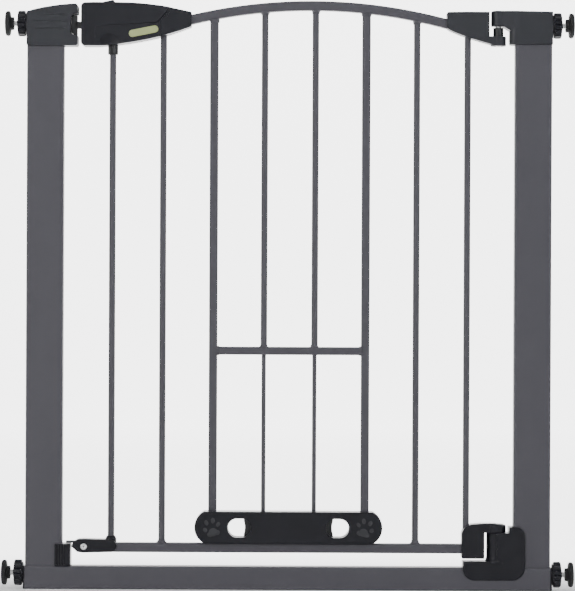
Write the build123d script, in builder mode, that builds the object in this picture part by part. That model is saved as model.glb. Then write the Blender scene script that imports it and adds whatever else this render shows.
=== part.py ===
from build123d import *
from math import asin, cos, degrees, radians, sin, sqrt
import os

# Pressure-mounted pet gate: a U-shaped steel frame wedged between two walls by four screw spindles,
# a lift-and-swing gate leaf with an arched top, and a small sliding pet door low in the leaf.
# Millimetres. X runs across the opening (hinges at +X), Y from front to back, Z up.
# The origin is on the floor, under the middle of the threshold.

os.makedirs("parts", exist_ok=True)

# ---------------------------------------------------------------- driving dimensions
frame_half_width = 362.0  # outer faces of the two posts
post_width = 51.0
post_depth = 20.0
post_top = 790.0
post_wall = 1.2
threshold_height = 32.0
threshold_depth = 24.0
threshold_wall = 1.5
plug_flange = 2.5

hinge_x = 288.0  # the gate swings about a vertical axis here
swing_gap = 3.5  # daylight between door-side and frame-side hinge parts

rail = 13.0  # square tube of the arch and of the bottom rail
rail_wall = 1.2
rail_corner = 1.8
bottom_rail_z = 57.5  # centre line
bar_radius = 4.5
bar_wall = 1.0
bar_pitch = 70.0
bay_centre = 1.0  # the eight uprights are spaced evenly about this X
bay_bar = 11.5  # square uprights either side of the pet door

arch_centre = (32.0, 87.5)  # X, Z
arch_top = 812.5
arch_radius = arch_top - arch_centre[1] - rail / 2  # centre line of the tube

crossbar = 11.0
crossbar_z = 329.5
rod_radius = 3.0
shoe_bottom = bottom_rail_z + rail / 2 + 0.4
shoe_height = 43.5
shoe_half_depth = 13.5
finger_hole_radius = 13.0
finger_hole_offset = 67.5  # middle of each finger hole from the middle of the pet door
finger_hole_stretch = 6.0

spindle_top_z = 780.0
spindle_bottom_z = 22.0
spindle_radius = 4.0
wheel_radius = 17.8
pad_radius = 17.3

handle_left = -287.5
handle_bottom = 749.0
handle_half_depth = 15.0
handle_wall = 2.5
handle_seam = (-178.0, 783.0)  # knee of the joint between the handle cover and its tail collar

bolt_z = 778.0
running = 0.05  # radial clearance of a pin in its bush
slip = 0.3  # clearance of a part that slides or is pushed on by hand
screw_shank_radius = 1.5
housing_screws = [(-306.0, 756.0), (-306.0, 797.0)]  # X, Z of the two that close the latch housing

bottom_rail_top = bottom_rail_z + rail / 2
bar_x = [bay_centre + bar_pitch * (n - 3.5) for n in range(8)]
latch_stile_x, hinge_stile_x = bar_x[0], bar_x[7]
bay_left_x, bay_right_x = bar_x[2], bar_x[5]
tube_x = (bar_x[3], bar_x[4])
post_inner = frame_half_width - post_width
shoe_top = shoe_bottom + shoe_height
catch_rivet = (-281.0, 58.6)  # X, Z of the rivet that holds the bottom catch on the rail
rivet_radius = 2.5
finger_z = shoe_bottom + shoe_height / 2 - 0.7


def finish(builder, name):
    """Labels a finished piece and writes it."""
    builder.part.label = name
    export_step(builder.part, f"parts/{name}.step")


# ---------------------------------------------------------------- frame: posts and threshold
def make_post(side, name):
    """Upright rectangular tube, with a hole through both narrow walls for the top spindle."""
    with BuildPart() as post:
        with BuildSketch(Plane.XY.offset(threshold_height)):
            with Locations((side * (frame_half_width - post_width / 2), 0)):
                RectangleRounded(post_width, post_depth, 3.0)
                RectangleRounded(
                    post_width - 2 * post_wall, post_depth - 2 * post_wall, 1.8, mode=Mode.SUBTRACT
                )
        extrude(amount=post_top - threshold_height)
        with Locations(Location((side * frame_half_width, 0, spindle_top_z), (0, 90, 0))):
            Cylinder(spindle_radius + slip, 3 * post_width, mode=Mode.SUBTRACT)
    finish(post, name)


make_post(-1, "latch_post")
make_post(1, "hinge_post")

with BuildPart() as threshold:
    with BuildSketch(Plane.YZ.offset(-frame_half_width)):
        with Locations((0, threshold_height / 2)):
            RectangleRounded(threshold_depth, threshold_height, 3.0)
            RectangleRounded(
                threshold_depth - 2 * threshold_wall,
                threshold_height - 2 * threshold_wall,
                1.5,
                mode=Mode.SUBTRACT,
            )
    extrude(amount=2 * frame_half_width)
finish(threshold, "threshold_tube")


def make_end_plug(side, name):
    """Moulded plug that closes the threshold tube and guides the bottom spindle."""
    with BuildPart() as plug:
        with BuildSketch(Plane.YZ.offset(side * frame_half_width)):
            with Locations((0, threshold_height / 2)):
                RectangleRounded(threshold_depth, threshold_height, 3.0)
        extrude(amount=side * plug_flange)
        fillet(plug.faces().sort_by(Axis.X)[-1 if side > 0 else 0].edges(), 1.0)
        with BuildSketch(Plane.YZ.offset(side * frame_half_width)):
            with Locations((0, threshold_height / 2)):
                inset = 2 * threshold_wall + 0.4
                RectangleRounded(threshold_depth - inset, threshold_height - inset, 1.2)
        extrude(amount=-side * 18.0)
        with Locations(Location((side * frame_half_width, 0, spindle_bottom_z), (0, 90, 0))):
            Cylinder(spindle_radius + slip, 60.0, mode=Mode.SUBTRACT)
    finish(plug, name)


make_end_plug(-1, "threshold_plug_latch_side")
make_end_plug(1, "threshold_plug_hinge_side")

# ---------------------------------------------------------------- pressure spindles
grip_lobes = 14
wheel_start, grip_start, wheel_face = 0.3, 2.2, 12.6  # out from the frame
hub_start = 18.6
pad_start = 23.4
pad_face = 30.0
rod_inner = -44.0  # how far the threaded rod reaches into the frame


def make_spindle(side, z, bearing_x, place):
    """Thumb wheel that bears on the frame, threaded rod, and wall pad, all on one horizontal axis."""
    out = Plane(origin=(side * bearing_x, 0, z), x_dir=(0, 1, 0), z_dir=(side, 0, 0))

    with BuildPart() as wheel:
        with BuildSketch(out.offset(wheel_start)):
            Circle(14.5)
        extrude(amount=grip_start - wheel_start)
        with BuildSketch(out.offset(grip_start)):
            Circle(wheel_radius)
            with PolarLocations(wheel_radius + 0.9, grip_lobes):
                Circle(2.3, mode=Mode.SUBTRACT)
        extrude(amount=wheel_face - grip_start)
        chamfer(wheel.faces().sort_by(Axis.X)[-1 if side > 0 else 0].outer_wire().edges(), 1.2)
        with BuildSketch(out.offset(wheel_face)):
            Circle(8.0)
        extrude(amount=1.3)
        with BuildSketch(out):
            Circle(spindle_radius + running)
        extrude(amount=40.0, mode=Mode.SUBTRACT)
    finish(wheel, f"thumb_wheel_{place}")

    with BuildPart() as rod:
        with BuildSketch(out.offset(rod_inner)):
            Circle(spindle_radius)
        extrude(amount=pad_start + 2.0 - rod_inner)
        chamfer(rod.edges().filter_by(GeomType.CIRCLE), 0.6)
    finish(rod, f"threaded_rod_{place}")

    with BuildPart() as pad:
        with BuildSketch(out.offset(hub_start)):
            Circle(9.0)
        extrude(amount=pad_start - hub_start)
        with BuildSketch(out.offset(pad_start)):
            Circle(pad_radius)
        extrude(amount=pad_face - pad_start)
        rim = pad.faces().sort_by(Axis.X)[-1 if side > 0 else 0].edges()
        fillet(rim, 2.2)
        with BuildSketch(out.offset(hub_start)):
            Circle(spindle_radius)
        extrude(amount=pad_start + 2.0 - hub_start, mode=Mode.SUBTRACT)
    finish(pad, f"wall_pad_{place}")


top_bearing = frame_half_width + 0.4
bottom_bearing = frame_half_width + plug_flange
make_spindle(-1, spindle_top_z, top_bearing, "top_left")
make_spindle(1, spindle_top_z, top_bearing, "top_right")
make_spindle(-1, spindle_bottom_z, bottom_bearing, "bottom_left")
make_spindle(1, spindle_bottom_z, bottom_bearing, "bottom_right")

# ---------------------------------------------------------------- latch housing on the left post
housing_left = -top_bearing
housing_right = -292.0
housing_half_depth = 14.0
notch_left = -301.8
notch_bottom, notch_top = 763.0, 792.6
keeper_roof = 802.5  # hollow above the notch, so that the bolt can rise with the gate
keeper_half_depth = 7.2


def make_latch_housing(front, name):
    """One of the two half shells that cap the latch post. The bolt of the gate sits in its notch."""
    sign = 1 if front else -1
    with BuildPart() as shell:
        with BuildSketch(Plane.XZ):
            with BuildLine():
                Line((housing_left, 796.0), (housing_left, handle_bottom))
                Line((housing_left, handle_bottom), (housing_right, handle_bottom))
                Line((housing_right, handle_bottom), (housing_right, 806.8))
                ThreePointArc((housing_right, 806.8), (-331.0, 803.6), (housing_left, 796.0))
            make_face()
        extrude(amount=sign * housing_half_depth)
        outer = shell.faces().sort_by(Axis.Y)[0 if front else -1]
        long_edges = outer.edges().sort_by(Axis.X)[1:]
        fillet(long_edges, 3.0)
        with BuildSketch(Plane.XZ):
            with Locations((housing_left - 1, handle_bottom - 1)):
                pocket_width = -post_inner + slip - housing_left + 1
                pocket_height = post_top + slip - handle_bottom + 1
                Rectangle(pocket_width, pocket_height, align=(Align.MIN, Align.MIN))
        extrude(amount=sign * (post_depth / 2 + 0.15), mode=Mode.SUBTRACT)
        with BuildSketch(Plane.XZ):
            with BuildLine():
                Polyline(
                    (housing_right + 1, notch_bottom - 1.0),
                    (-297.0, notch_bottom),
                    (notch_left, notch_bottom + 4.0),
                    (notch_left, notch_top - 4.0),
                    (-298.5, notch_top),
                    (housing_right + 1, notch_top),
                    close=True,
                )
            make_face()
        extrude(amount=sign * 20.0, mode=Mode.SUBTRACT)
        with BuildSketch(Plane.XZ):
            with Locations((notch_left, notch_top - 10.0)):
                Rectangle(20.0, keeper_roof - notch_top + 10.0, align=(Align.MIN, Align.MIN))
        extrude(amount=sign * keeper_half_depth, mode=Mode.SUBTRACT)
        if front:
            # three shallow grip grooves moulded into the front
            for groove_z, groove_left in ((791.5, -337.0), (782.0, -354.0), (772.5, -350.0)):
                with BuildSketch(Plane.XZ.offset(housing_half_depth - 0.6)):
                    with Locations(((groove_left - 309.0) / 2, groove_z)):
                        SlotOverall(-309.0 - groove_left, 2.4)
                extrude(amount=2.0, mode=Mode.SUBTRACT)
        else:
            with Locations(
                *[Location((x, housing_half_depth, z), (90, 0, 0)) for x, z in housing_screws]
            ):
                Hole(screw_shank_radius)
    finish(shell, name)


make_latch_housing(True, "latch_housing_front")
make_latch_housing(False, "latch_housing_back")

# ---------------------------------------------------------------- upper hinge on the right post
bracket_top = 800.0
bracket_bottom = 753.0
bracket_end = top_bearing
barrel_radius = 10.0
overhang_bottom = 779.0
bracket_half_depth = 13.0
upper_pin_radius = 4.0
sleeve_radius = 7.0
lug_bottom, lug_top = 751.5, 764.6

with BuildPart() as upper_bracket:
    with BuildSketch(Plane.XZ):
        with BuildLine():
            Polyline(
                (hinge_x - barrel_radius, bracket_top),
                (hinge_x - barrel_radius, overhang_bottom),
                (hinge_x + 6.0, overhang_bottom - 0.6),
                (hinge_x + 15.0, overhang_bottom - 6.0),
                (hinge_x + 15.0, bracket_bottom),
                (bracket_end, bracket_bottom),
                (bracket_end, bracket_top - 1.2),
                close=True,
            )
        make_face()
    extrude(amount=bracket_half_depth, both=True)
    with BuildSketch(Plane.XY.offset(bracket_bottom - 5)):
        with Locations((hinge_x, 0)):
            Circle(barrel_radius)
        with BuildLine():
            Polyline(
                (hinge_x, -barrel_radius),
                (hinge_x + 12.0, -barrel_radius),
                (hinge_x + 19.0, -bracket_half_depth),
                (bracket_end, -bracket_half_depth),
                (bracket_end, bracket_half_depth),
                (hinge_x + 19.0, bracket_half_depth),
                (hinge_x + 12.0, barrel_radius),
                (hinge_x, barrel_radius),
                close=True,
            )
        make_face()
    extrude(amount=bracket_top - bracket_bottom + 10, mode=Mode.INTERSECT)
    fillet(upper_bracket.faces().sort_by(Axis.Z)[-1].edges(), 2.0)
    with BuildSketch(Plane.XY.offset(bracket_bottom - 1)):
        with Locations((post_inner - slip, 0)):
            Rectangle(60.0, post_depth + slip, align=(Align.MIN, Align.CENTER))
    extrude(amount=post_top + slip - bracket_bottom + 1, mode=Mode.SUBTRACT)
    with BuildSketch(Plane.XY.offset(overhang_bottom - 8)):
        with Locations((hinge_x, 0)):
            Circle(upper_pin_radius)
    extrude(amount=24.0, mode=Mode.SUBTRACT)
    with Locations(
        *[Location((x, bracket_half_depth, z), (90, 0, 0)) for x, z in ((306.5, 760.0), (306.5, 793.0))]
    ):
        Hole(screw_shank_radius, depth=16.0)
finish(upper_bracket, "upper_hinge_bracket")

with BuildPart() as upper_pin:
    with BuildSketch(Plane.XY.offset(lug_bottom - 0.5)):
        with Locations((hinge_x, 0)):
            Circle(upper_pin_radius)
    extrude(amount=overhang_bottom + 16.0 - lug_bottom + 0.5)
    chamfer(upper_pin.edges().sort_by(Axis.Z)[0], 0.8)
finish(upper_pin, "upper_hinge_pin")

with BuildPart() as sleeve:
    with BuildSketch(Plane.XY.offset(lug_bottom + 0.5)):
        with Locations((hinge_x, 0)):
            Circle(sleeve_radius)
            Circle(upper_pin_radius + running, mode=Mode.SUBTRACT)
    extrude(amount=overhang_bottom - 2.4 - lug_bottom - 0.5)
finish(sleeve, "upper_pivot_sleeve")

# ---------------------------------------------------------------- lower hinge block on the right post
base_left, base_right = 241.5, 327.5
base_bottom, foot_top = 14.5, 41.0
column_radius = 13.4
column_top = 80.0
shoulder_x, shoulder_top = 305.0, 88.5
base_half_depth = 15.5
socket_radius = 8.0
socket_bottom = 58.0
spigot_radius = 5.0
spigot_flat = 3.4
spigot_bottom = 60.0

with BuildPart() as lower_base:
    with BuildSketch(Plane.XZ):
        with BuildLine():
            Line((base_left, foot_top), (hinge_x, foot_top))
            Line((hinge_x, foot_top), (hinge_x, column_top))
            Line((hinge_x, column_top), (shoulder_x, column_top))
            Line((shoulder_x, column_top), (shoulder_x, shoulder_top))
            Line((shoulder_x, shoulder_top), (base_right - 13.0, shoulder_top))
            ThreePointArc(
                (base_right - 13.0, shoulder_top),
                (base_right - 3.8, shoulder_top - 3.8),
                (base_right, shoulder_top - 13.0),
            )
            Line((base_right, shoulder_top - 13.0), (base_right, base_bottom + 18.0))
            ThreePointArc(
                (base_right, base_bottom + 18.0),
                (base_right - 6.0, base_bottom + 5.5),
                (base_right - 22.0, base_bottom),
            )
            Line((base_right - 22.0, base_bottom), (base_left + 16.0, base_bottom))
            ThreePointArc(
                (base_left + 16.0, base_bottom),
                (base_left + 4.7, base_bottom + 4.7),
                (base_left, base_bottom + 16.0),
            )
            Line((base_left, base_bottom + 16.0), (base_left, foot_top))
        make_face()
    extrude(amount=base_half_depth, both=True)
    front_and_back = lower_base.faces().filter_by(Axis.Y)
    fillet(front_and_back.edges(), 2.0)
    with BuildSketch(Plane.XY.offset(foot_top - 2)):
        with Locations((hinge_x, 0)):
            Circle(column_radius)
    extrude(amount=column_top - foot_top + 2)
    with BuildSketch(Plane.YZ.offset(base_left - 5)):
        with Locations((0, -1)):
            Rectangle(
                threshold_depth + 0.2, threshold_height + 1.1, align=(Align.CENTER, Align.MIN)
            )
    extrude(amount=120.0, mode=Mode.SUBTRACT)
    with BuildSketch(Plane.XY.offset(threshold_height - 1)):
        with Locations((post_inner - 0.2, 0)):
            Rectangle(60.0, post_depth + 0.2, align=(Align.MIN, Align.CENTER))
    extrude(amount=80.0, mode=Mode.SUBTRACT)
    with BuildSketch(Plane.XY.offset(socket_bottom)):
        with Locations((hinge_x, 0)):
            Circle(socket_radius)
    extrude(amount=40.0, mode=Mode.SUBTRACT)
finish(lower_base, "lower_hinge_base")

with BuildPart() as lower_bush:
    with BuildSketch(Plane.XY.offset(socket_bottom + 0.1)):
        with Locations((hinge_x, 0)):
            Circle(socket_radius - running)
    extrude(amount=column_top - 0.3 - socket_bottom - 0.1)
    with BuildSketch(Plane.XY.offset(spigot_bottom - 0.3)):
        with Locations((hinge_x, 0)):
            Circle(spigot_radius + 0.1)
        with Locations((hinge_x + spigot_flat + 0.1, 0)):
            Rectangle(20.0, 20.0, align=(Align.MIN, Align.CENTER), mode=Mode.SUBTRACT)
    extrude(amount=40.0, mode=Mode.SUBTRACT)
finish(lower_bush, "lower_pivot_bush")

# ---------------------------------------------------------------- receiver for the bottom catch
receiver_left, receiver_right = -320.7, -299.2
receiver_top = 62.6
receiver_half_depth = 13.0

with BuildPart() as receiver:
    with BuildSketch(Plane.XY.offset(threshold_height)):
        with BuildLine():
            Polyline(
                (receiver_left, -receiver_half_depth),
                (receiver_right - 4.0, -receiver_half_depth),
                (receiver_right, -receiver_half_depth + 4.0),
                (receiver_right, receiver_half_depth - 4.0),
                (receiver_right - 4.0, receiver_half_depth),
                (receiver_left, receiver_half_depth),
                close=True,
            )
        make_face()
        with Locations((receiver_left - 1, 0)):
            Rectangle(
                -post_inner + 0.1 - receiver_left + 1,
                post_depth + 0.2,
                align=(Align.MIN, Align.CENTER),
                mode=Mode.SUBTRACT,
            )
    extrude(amount=receiver_top - threshold_height)
    # upright grip ribs on the front face
    with BuildSketch(Plane.XZ.offset(receiver_half_depth)):
        with Locations(*[(receiver_left + 3.0 + 3.2 * n, 47.0) for n in range(4)]):
            SlotOverall(25.0, 1.4, rotation=90)
    extrude(amount=-0.6, mode=Mode.SUBTRACT)
finish(receiver, "bottom_catch_receiver")


# ---------------------------------------------------------------- screws
def make_screws(places, name, shank, head_radius=3.0, head_height=1.9):
    """Pan-head screws driven from the back, with a cross recess. places is X, Y of the seat, Z."""
    with BuildPart() as screws:
        for x, seat, z in places:
            with BuildSketch(Plane.XZ.offset(-seat)):
                with Locations((x, z)):
                    Circle(head_radius)
            extrude(amount=-head_height)
            with BuildSketch(Plane.XZ.offset(-seat)):
                with Locations((x, z)):
                    Circle(screw_shank_radius)
            extrude(amount=shank)
        fillet(screws.faces().sort_by(Axis.Y)[-1].edges(), 0.8)
        with BuildSketch(Plane.XZ.offset(-places[0][1] - head_height)):
            with Locations(*[(x, z) for x, seat, z in places]):
                Rectangle(3.4, 0.8)
                Rectangle(0.8, 3.4)
        extrude(amount=1.0, mode=Mode.SUBTRACT)
    finish(screws, name)


make_screws([(x, housing_half_depth, z) for x, z in housing_screws], "latch_housing_screws", 13.5)
make_screws(
    [(306.5, bracket_half_depth, 760.0), (306.5, bracket_half_depth, 793.0)],
    "hinge_bracket_screws",
    13.5,
)

# ---------------------------------------------------------------- gate leaf: arch, rail and uprights
bend_radius = 60.0
arch_start_angle = asin((arch_centre[0] + 180.0) / arch_radius)
arch_end_angle = asin((258.0 - arch_centre[0]) / arch_radius)
arch_foot = (
    arch_centre[0] - arch_radius * sin(arch_start_angle),
    arch_centre[1] + arch_radius * cos(arch_start_angle),
)
bend_centre = (
    arch_foot[0] - bend_radius * sin(arch_start_angle),
    arch_foot[1] + bend_radius * cos(arch_start_angle),
)
level_end = latch_stile_x + bar_radius + 0.02
level_z = bend_centre[1] - bend_radius


def sweep_arch(size, corner, wall=None):
    """The arch tube: level inside the handle, one bend up, then a single arc to the hinge arm."""
    with BuildPart() as swept:
        with BuildLine(Plane.XZ) as path:
            Line((level_end, level_z), (bend_centre[0], level_z))
            CenterArc(bend_centre, bend_radius, 270, degrees(arch_start_angle))
            CenterArc(
                arch_centre,
                arch_radius,
                90 + degrees(arch_start_angle),
                -degrees(arch_start_angle + arch_end_angle),
            )
        start = Plane(origin=path.line @ 0, x_dir=(0, 1, 0), z_dir=path.line % 0)
        with BuildSketch(start):
            RectangleRounded(size, size, corner)
            if wall:
                RectangleRounded(size - 2 * wall, size - 2 * wall, corner - wall, mode=Mode.SUBTRACT)
        sweep(path=path.line)
    return swept


arch_rail = sweep_arch(rail, rail_corner, rail_wall)
finish(arch_rail, "arch_rail")
arch_void = sweep_arch(rail + 0.3, rail_corner).part  # what the mouldings leave clear for the tube

with BuildPart() as bottom_rail:
    with BuildSketch(Plane.YZ.offset(-287.0)):
        with Locations((0, bottom_rail_z)):
            RectangleRounded(rail, rail, rail_corner)
            RectangleRounded(
                rail - 2 * rail_wall, rail - 2 * rail_wall, rail_corner - rail_wall, mode=Mode.SUBTRACT
            )
    extrude(amount=262.0 + 287.0)
    with Locations(Location((catch_rivet[0], 0, catch_rivet[1]), (90, 0, 0))):
        Cylinder(rivet_radius + 0.02, 30.0, mode=Mode.SUBTRACT)
finish(bottom_rail, "bottom_rail")


def trim_under_arch():
    """Copes the top of an upright to the underside of the arch."""
    with Locations(Location((arch_centre[0], 0, arch_centre[1]), (90, 0, 0))):
        Cylinder(arch_radius - rail / 2 - 0.01, 60.0, mode=Mode.INTERSECT)


def make_round_bar(x, bottom, top, name):
    with BuildPart() as bar:
        with BuildSketch(Plane.XY.offset(bottom)):
            with Locations((x, 0)):
                Circle(bar_radius)
                Circle(bar_radius - bar_wall, mode=Mode.SUBTRACT)
        extrude(amount=top - bottom)
        if top > 800:
            trim_under_arch()
    finish(bar, name)


make_round_bar(latch_stile_x, bottom_rail_top, 777.0, "latch_stile")
make_round_bar(bar_x[1], bottom_rail_top, 820.0, "upright_2")
make_round_bar(bar_x[6], bottom_rail_top, 820.0, "upright_7")
make_round_bar(hinge_stile_x, bottom_rail_top, 820.0, "hinge_stile")
for x, place in zip(tube_x, ("left", "right")):
    make_round_bar(x, crossbar_z + crossbar / 2, 820.0, f"guide_tube_{place}")

for x, place in ((bay_left_x, "left"), (bay_right_x, "right")):
    with BuildPart() as bay_upright:
        with BuildSketch(Plane.XY.offset(bottom_rail_top)):
            with Locations((x, 0)):
                RectangleRounded(bay_bar, bay_bar, 1.6)
                RectangleRounded(bay_bar - 2.4, bay_bar - 2.4, 0.5, mode=Mode.SUBTRACT)
        extrude(amount=820.0 - bottom_rail_top)
        trim_under_arch()
    finish(bay_upright, f"pet_bay_upright_{place}")

with BuildPart() as pet_crossbar:
    inner_left = bay_left_x + bay_bar / 2
    inner_right = bay_right_x - bay_bar / 2
    with BuildSketch(Plane.YZ.offset(inner_left)):
        with Locations((0, crossbar_z)):
            RectangleRounded(crossbar, crossbar, 1.5)
            RectangleRounded(crossbar - 2.4, crossbar - 2.4, 0.4, mode=Mode.SUBTRACT)
    extrude(amount=inner_right - inner_left)
    with BuildSketch(Plane.XY.offset(crossbar_z - 10)):
        with Locations(*[(x, 0) for x in tube_x]):
            Circle(bar_radius - bar_wall)
    extrude(amount=20.0, mode=Mode.SUBTRACT)
finish(pet_crossbar, "pet_bay_crossbar")

# ---------------------------------------------------------------- handle on the latch corner
handle_boss = [(-276.0, 757.0), (-270.0, 800.5), (-192.0, 795.0)]
glow_left, glow_right = (-217.0, 765.6), (-185.5, 771.9)
glow_radius = 5.0
button_slot = (-259.5, -229.5)


# side view of the whole handle, tail included
with BuildSketch() as handle_side:
    with BuildLine():
        ThreePointArc((handle_left, 807.4), (-238.0, 809.0), (-165.0, 802.3))
        Line((-165.0, 802.3), (-135.3, 796.4))
        Line((-135.3, 796.4), (-135.3, 776.2))
        ThreePointArc((-135.3, 776.2), (-195.0, 758.0), (-256.0, handle_bottom))
        Line((-256.0, handle_bottom), (handle_left, handle_bottom))
        Line((handle_left, handle_bottom), (handle_left, 807.4))
    make_face()

# everything to the tail side of the joint between the covers and the tail collar
with BuildSketch() as tail_side:
    with BuildLine():
        Polyline(
            (handle_seam[0] + 13.6, 812.0),
            handle_seam,
            (handle_seam[0], 740.0),
            (-120.0, 740.0),
            (-120.0, 812.0),
            close=True,
        )
    make_face()


def cut_for_tubes():
    """Clears the arch tube and the two uprights that run into the handle."""
    add(arch_void, mode=Mode.SUBTRACT)
    with Locations((latch_stile_x, 0, 760.0), (bar_x[1], 0, 760.0)):
        Cylinder(bar_radius + 0.15, 38.0, mode=Mode.SUBTRACT)


def make_handle_cover(front, name):
    sign = 1 if front else -1
    with BuildPart() as cover:
        with BuildSketch(Plane.XZ):
            add(handle_side.sketch)
        extrude(amount=sign * handle_half_depth)
        outer = cover.faces().sort_by(Axis.Y)[0 if front else -1]
        fillet(outer.edges(), 4.0)
        with BuildSketch(Plane.XZ):
            offset(handle_side.sketch, amount=-handle_wall)
        extrude(amount=sign * (handle_half_depth - handle_wall), mode=Mode.SUBTRACT)
        with BuildSketch(Plane.XZ):
            # screw bosses, and the rib that the latch spring pushes against
            with Locations(*handle_boss):
                Circle(3.6)
            with Locations((-209.5, 790.0)):
                Rectangle(2.5, 22.0)
        extrude(amount=sign * (handle_half_depth - 1.0))
        with BuildSketch(Plane.XZ):
            add(tail_side.sketch)
        extrude(amount=sign * 30.0, mode=Mode.SUBTRACT)
        with BuildSketch(Plane.XZ):
            # window in the end wall for the bolt head
            with Locations((handle_left, bolt_z - 0.6)):
                Rectangle(12.0, 29.8)
        extrude(amount=sign * 6.6, mode=Mode.SUBTRACT)
        with BuildSketch(Plane.XY.offset(800)):
            with Locations((sum(button_slot) / 2, 0)):
                SlotOverall(button_slot[1] - button_slot[0], 8.6)
        extrude(amount=15.0, mode=Mode.SUBTRACT)
        cut_for_tubes()
        if front:
            with BuildSketch(Plane.XZ.offset(handle_half_depth - 1.6)):
                make_glow_outline(0.1)
            extrude(amount=5.0, mode=Mode.SUBTRACT)
        for x, z in handle_boss:
            with Locations(Location((x, 0, z), (90, 0, 0))):
                Cylinder(screw_shank_radius, 16.0 if front else 40.0, mode=Mode.SUBTRACT)
            if not front:
                with Locations(Location((x, handle_half_depth, z), (90, 0, 0))):
                    Cylinder(3.3, 4.4, mode=Mode.SUBTRACT)
    finish(cover, name)


def make_glow_outline(extra=0.0):
    run = (glow_right[0] - glow_left[0], glow_right[1] - glow_left[1])
    length = sqrt(run[0] ** 2 + run[1] ** 2)
    middle = ((glow_right[0] + glow_left[0]) / 2, (glow_right[1] + glow_left[1]) / 2)
    with Locations(middle):
        SlotCenterToCenter(length, 2 * (glow_radius + extra), rotation=degrees(asin(run[1] / length)))


make_handle_cover(True, "handle_front_cover")
make_handle_cover(False, "handle_back_cover")
make_screws(
    [(x, handle_half_depth - 2.2, z) for x, z in handle_boss], "handle_screws", 18.0, head_height=1.8
)

with BuildPart() as glow_strip:
    with BuildSketch(Plane.XZ.offset(handle_half_depth - 1.6)):
        make_glow_outline()
    extrude(amount=2.2)
    fillet(glow_strip.faces().sort_by(Axis.Y)[0].edges(), 0.5)
finish(glow_strip, "glow_strip")

with BuildPart() as tail_collar:
    with BuildSketch(Plane.XZ):
        offset(handle_side.sketch, amount=-0.5)
    extrude(amount=handle_half_depth, both=True)
    with BuildSketch(Plane.XY.offset(740)):
        with BuildLine():
            Polyline(
                (-182.0, -14.6), (-182.0, 14.6), (-135.0, 10.0), (-135.0, -10.0), close=True
            )
        make_face()
    extrude(amount=80, mode=Mode.INTERSECT)
    with BuildSketch(Plane.XZ.offset(-30)):
        with Locations((0.2, 0)):
            add(tail_side.sketch)
    extrude(amount=60.0, mode=Mode.INTERSECT)
    fillet(tail_collar.edges().filter_by(lambda e: e.length > 20 and abs((e @ 0.5).Y) > 9.9), 3.0)
    cut_for_tubes()
finish(tail_collar, "handle_tail_collar")

with BuildPart() as stile_socket:
    with BuildSketch(Plane.XY.offset(737.6)):
        with Locations((latch_stile_x, 0)):
            Circle(7.0)
    extrude(amount=handle_bottom - 737.6)
    chamfer(stile_socket.edges().sort_by(Axis.Z)[0], 0.8)
    with BuildSketch(Plane.XY.offset(730)):
        with Locations((latch_stile_x, 0)):
            Circle(bar_radius + 0.02)
    extrude(amount=30.0, mode=Mode.SUBTRACT)
    with BuildSketch(Plane.XY.offset(737.0)):
        with Locations((latch_stile_x, 0)):
            with PolarLocations(7.4, 12):
                Circle(0.9)
    extrude(amount=20.0, mode=Mode.SUBTRACT)
finish(stile_socket, "stile_socket")

# ---------------------------------------------------------------- sliding latch in the handle
with BuildPart() as latch_bolt:
    with BuildSketch(Plane.XZ):
        with BuildLine():
            Polyline(
                (-293.0, bolt_z - 14.6),
                (-297.3, bolt_z - 14.4),
                (-301.4, bolt_z - 10.6),
                (-301.4, bolt_z + 10.4),
                (-298.3, bolt_z + 13.3),
                (-293.0, bolt_z + 13.3),
                close=True,
            )
        make_face()
        with Locations((-295.0, bolt_z)):
            Rectangle(27.0, 9.4, align=(Align.MIN, Align.CENTER))
        with Locations((-274.0, 789.0)):
            Rectangle(40.0, 9.0, align=(Align.MIN, Align.CENTER))
        with Locations((-274.0, bolt_z)):
            Rectangle(6.0, 14.0, align=(Align.MIN, Align.MIN))
    extrude(amount=4.5, both=True)
    with BuildSketch(Plane.XZ):
        with Locations((-250.0, 793.0)):
            Rectangle(10.0, 14.6, align=(Align.CENTER, Align.MIN))
    extrude(amount=3.8, both=True)
    with BuildSketch(Plane.YZ.offset(-234.0)):
        with Locations((0, 789.0)):
            Circle(1.8)
    extrude(amount=5.0)
finish(latch_bolt, "latch_bolt")

with BuildPart() as thumb_button:
    with BuildSketch(Plane.XZ):
        with BuildLine():
            Polyline(
                (-258.5, 809.3), (-256.0, 810.2), (-244.5, 812.8), (-242.6, 812.4), (-242.2, 809.3),
                close=True,
            )
        make_face()
    extrude(amount=6.5, both=True)
    with BuildSketch(Plane.XZ):
        with Locations((-250.0, 807.6)):
            Rectangle(10.0, 3.0, align=(Align.CENTER, Align.MIN))
    extrude(amount=3.8, both=True)
    with BuildSketch(Plane.XZ):
        with Locations(*[(-255.0 + 2.6 * n, 811.2 + 0.6 * n) for n in range(4)]):
            Circle(0.5)
    extrude(amount=8.0, both=True, mode=Mode.SUBTRACT)
finish(thumb_button, "thumb_button")


def make_spring(start, length, radius, wire, turns, name):
    """Compression spring along +X from start, its end coils closed."""
    with BuildPart() as spring:
        with BuildLine() as coil:
            Helix(length / turns, length, radius, center=start, direction=(1, 0, 0))
        with BuildSketch(Plane(origin=coil.line @ 0, z_dir=coil.line % 0)):
            Circle(wire)
        sweep(path=coil.line, is_frenet=True)
    finish(spring, name)


make_spring((-233.0, 0, 789.0), 21.5, 3.0, 0.45, 7, "latch_spring")

# ---------------------------------------------------------------- door-side hinge parts
arm_left = 216.5
arm_right = hinge_x - barrel_radius - 2.8
arm_half_depth = 10.0

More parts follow.
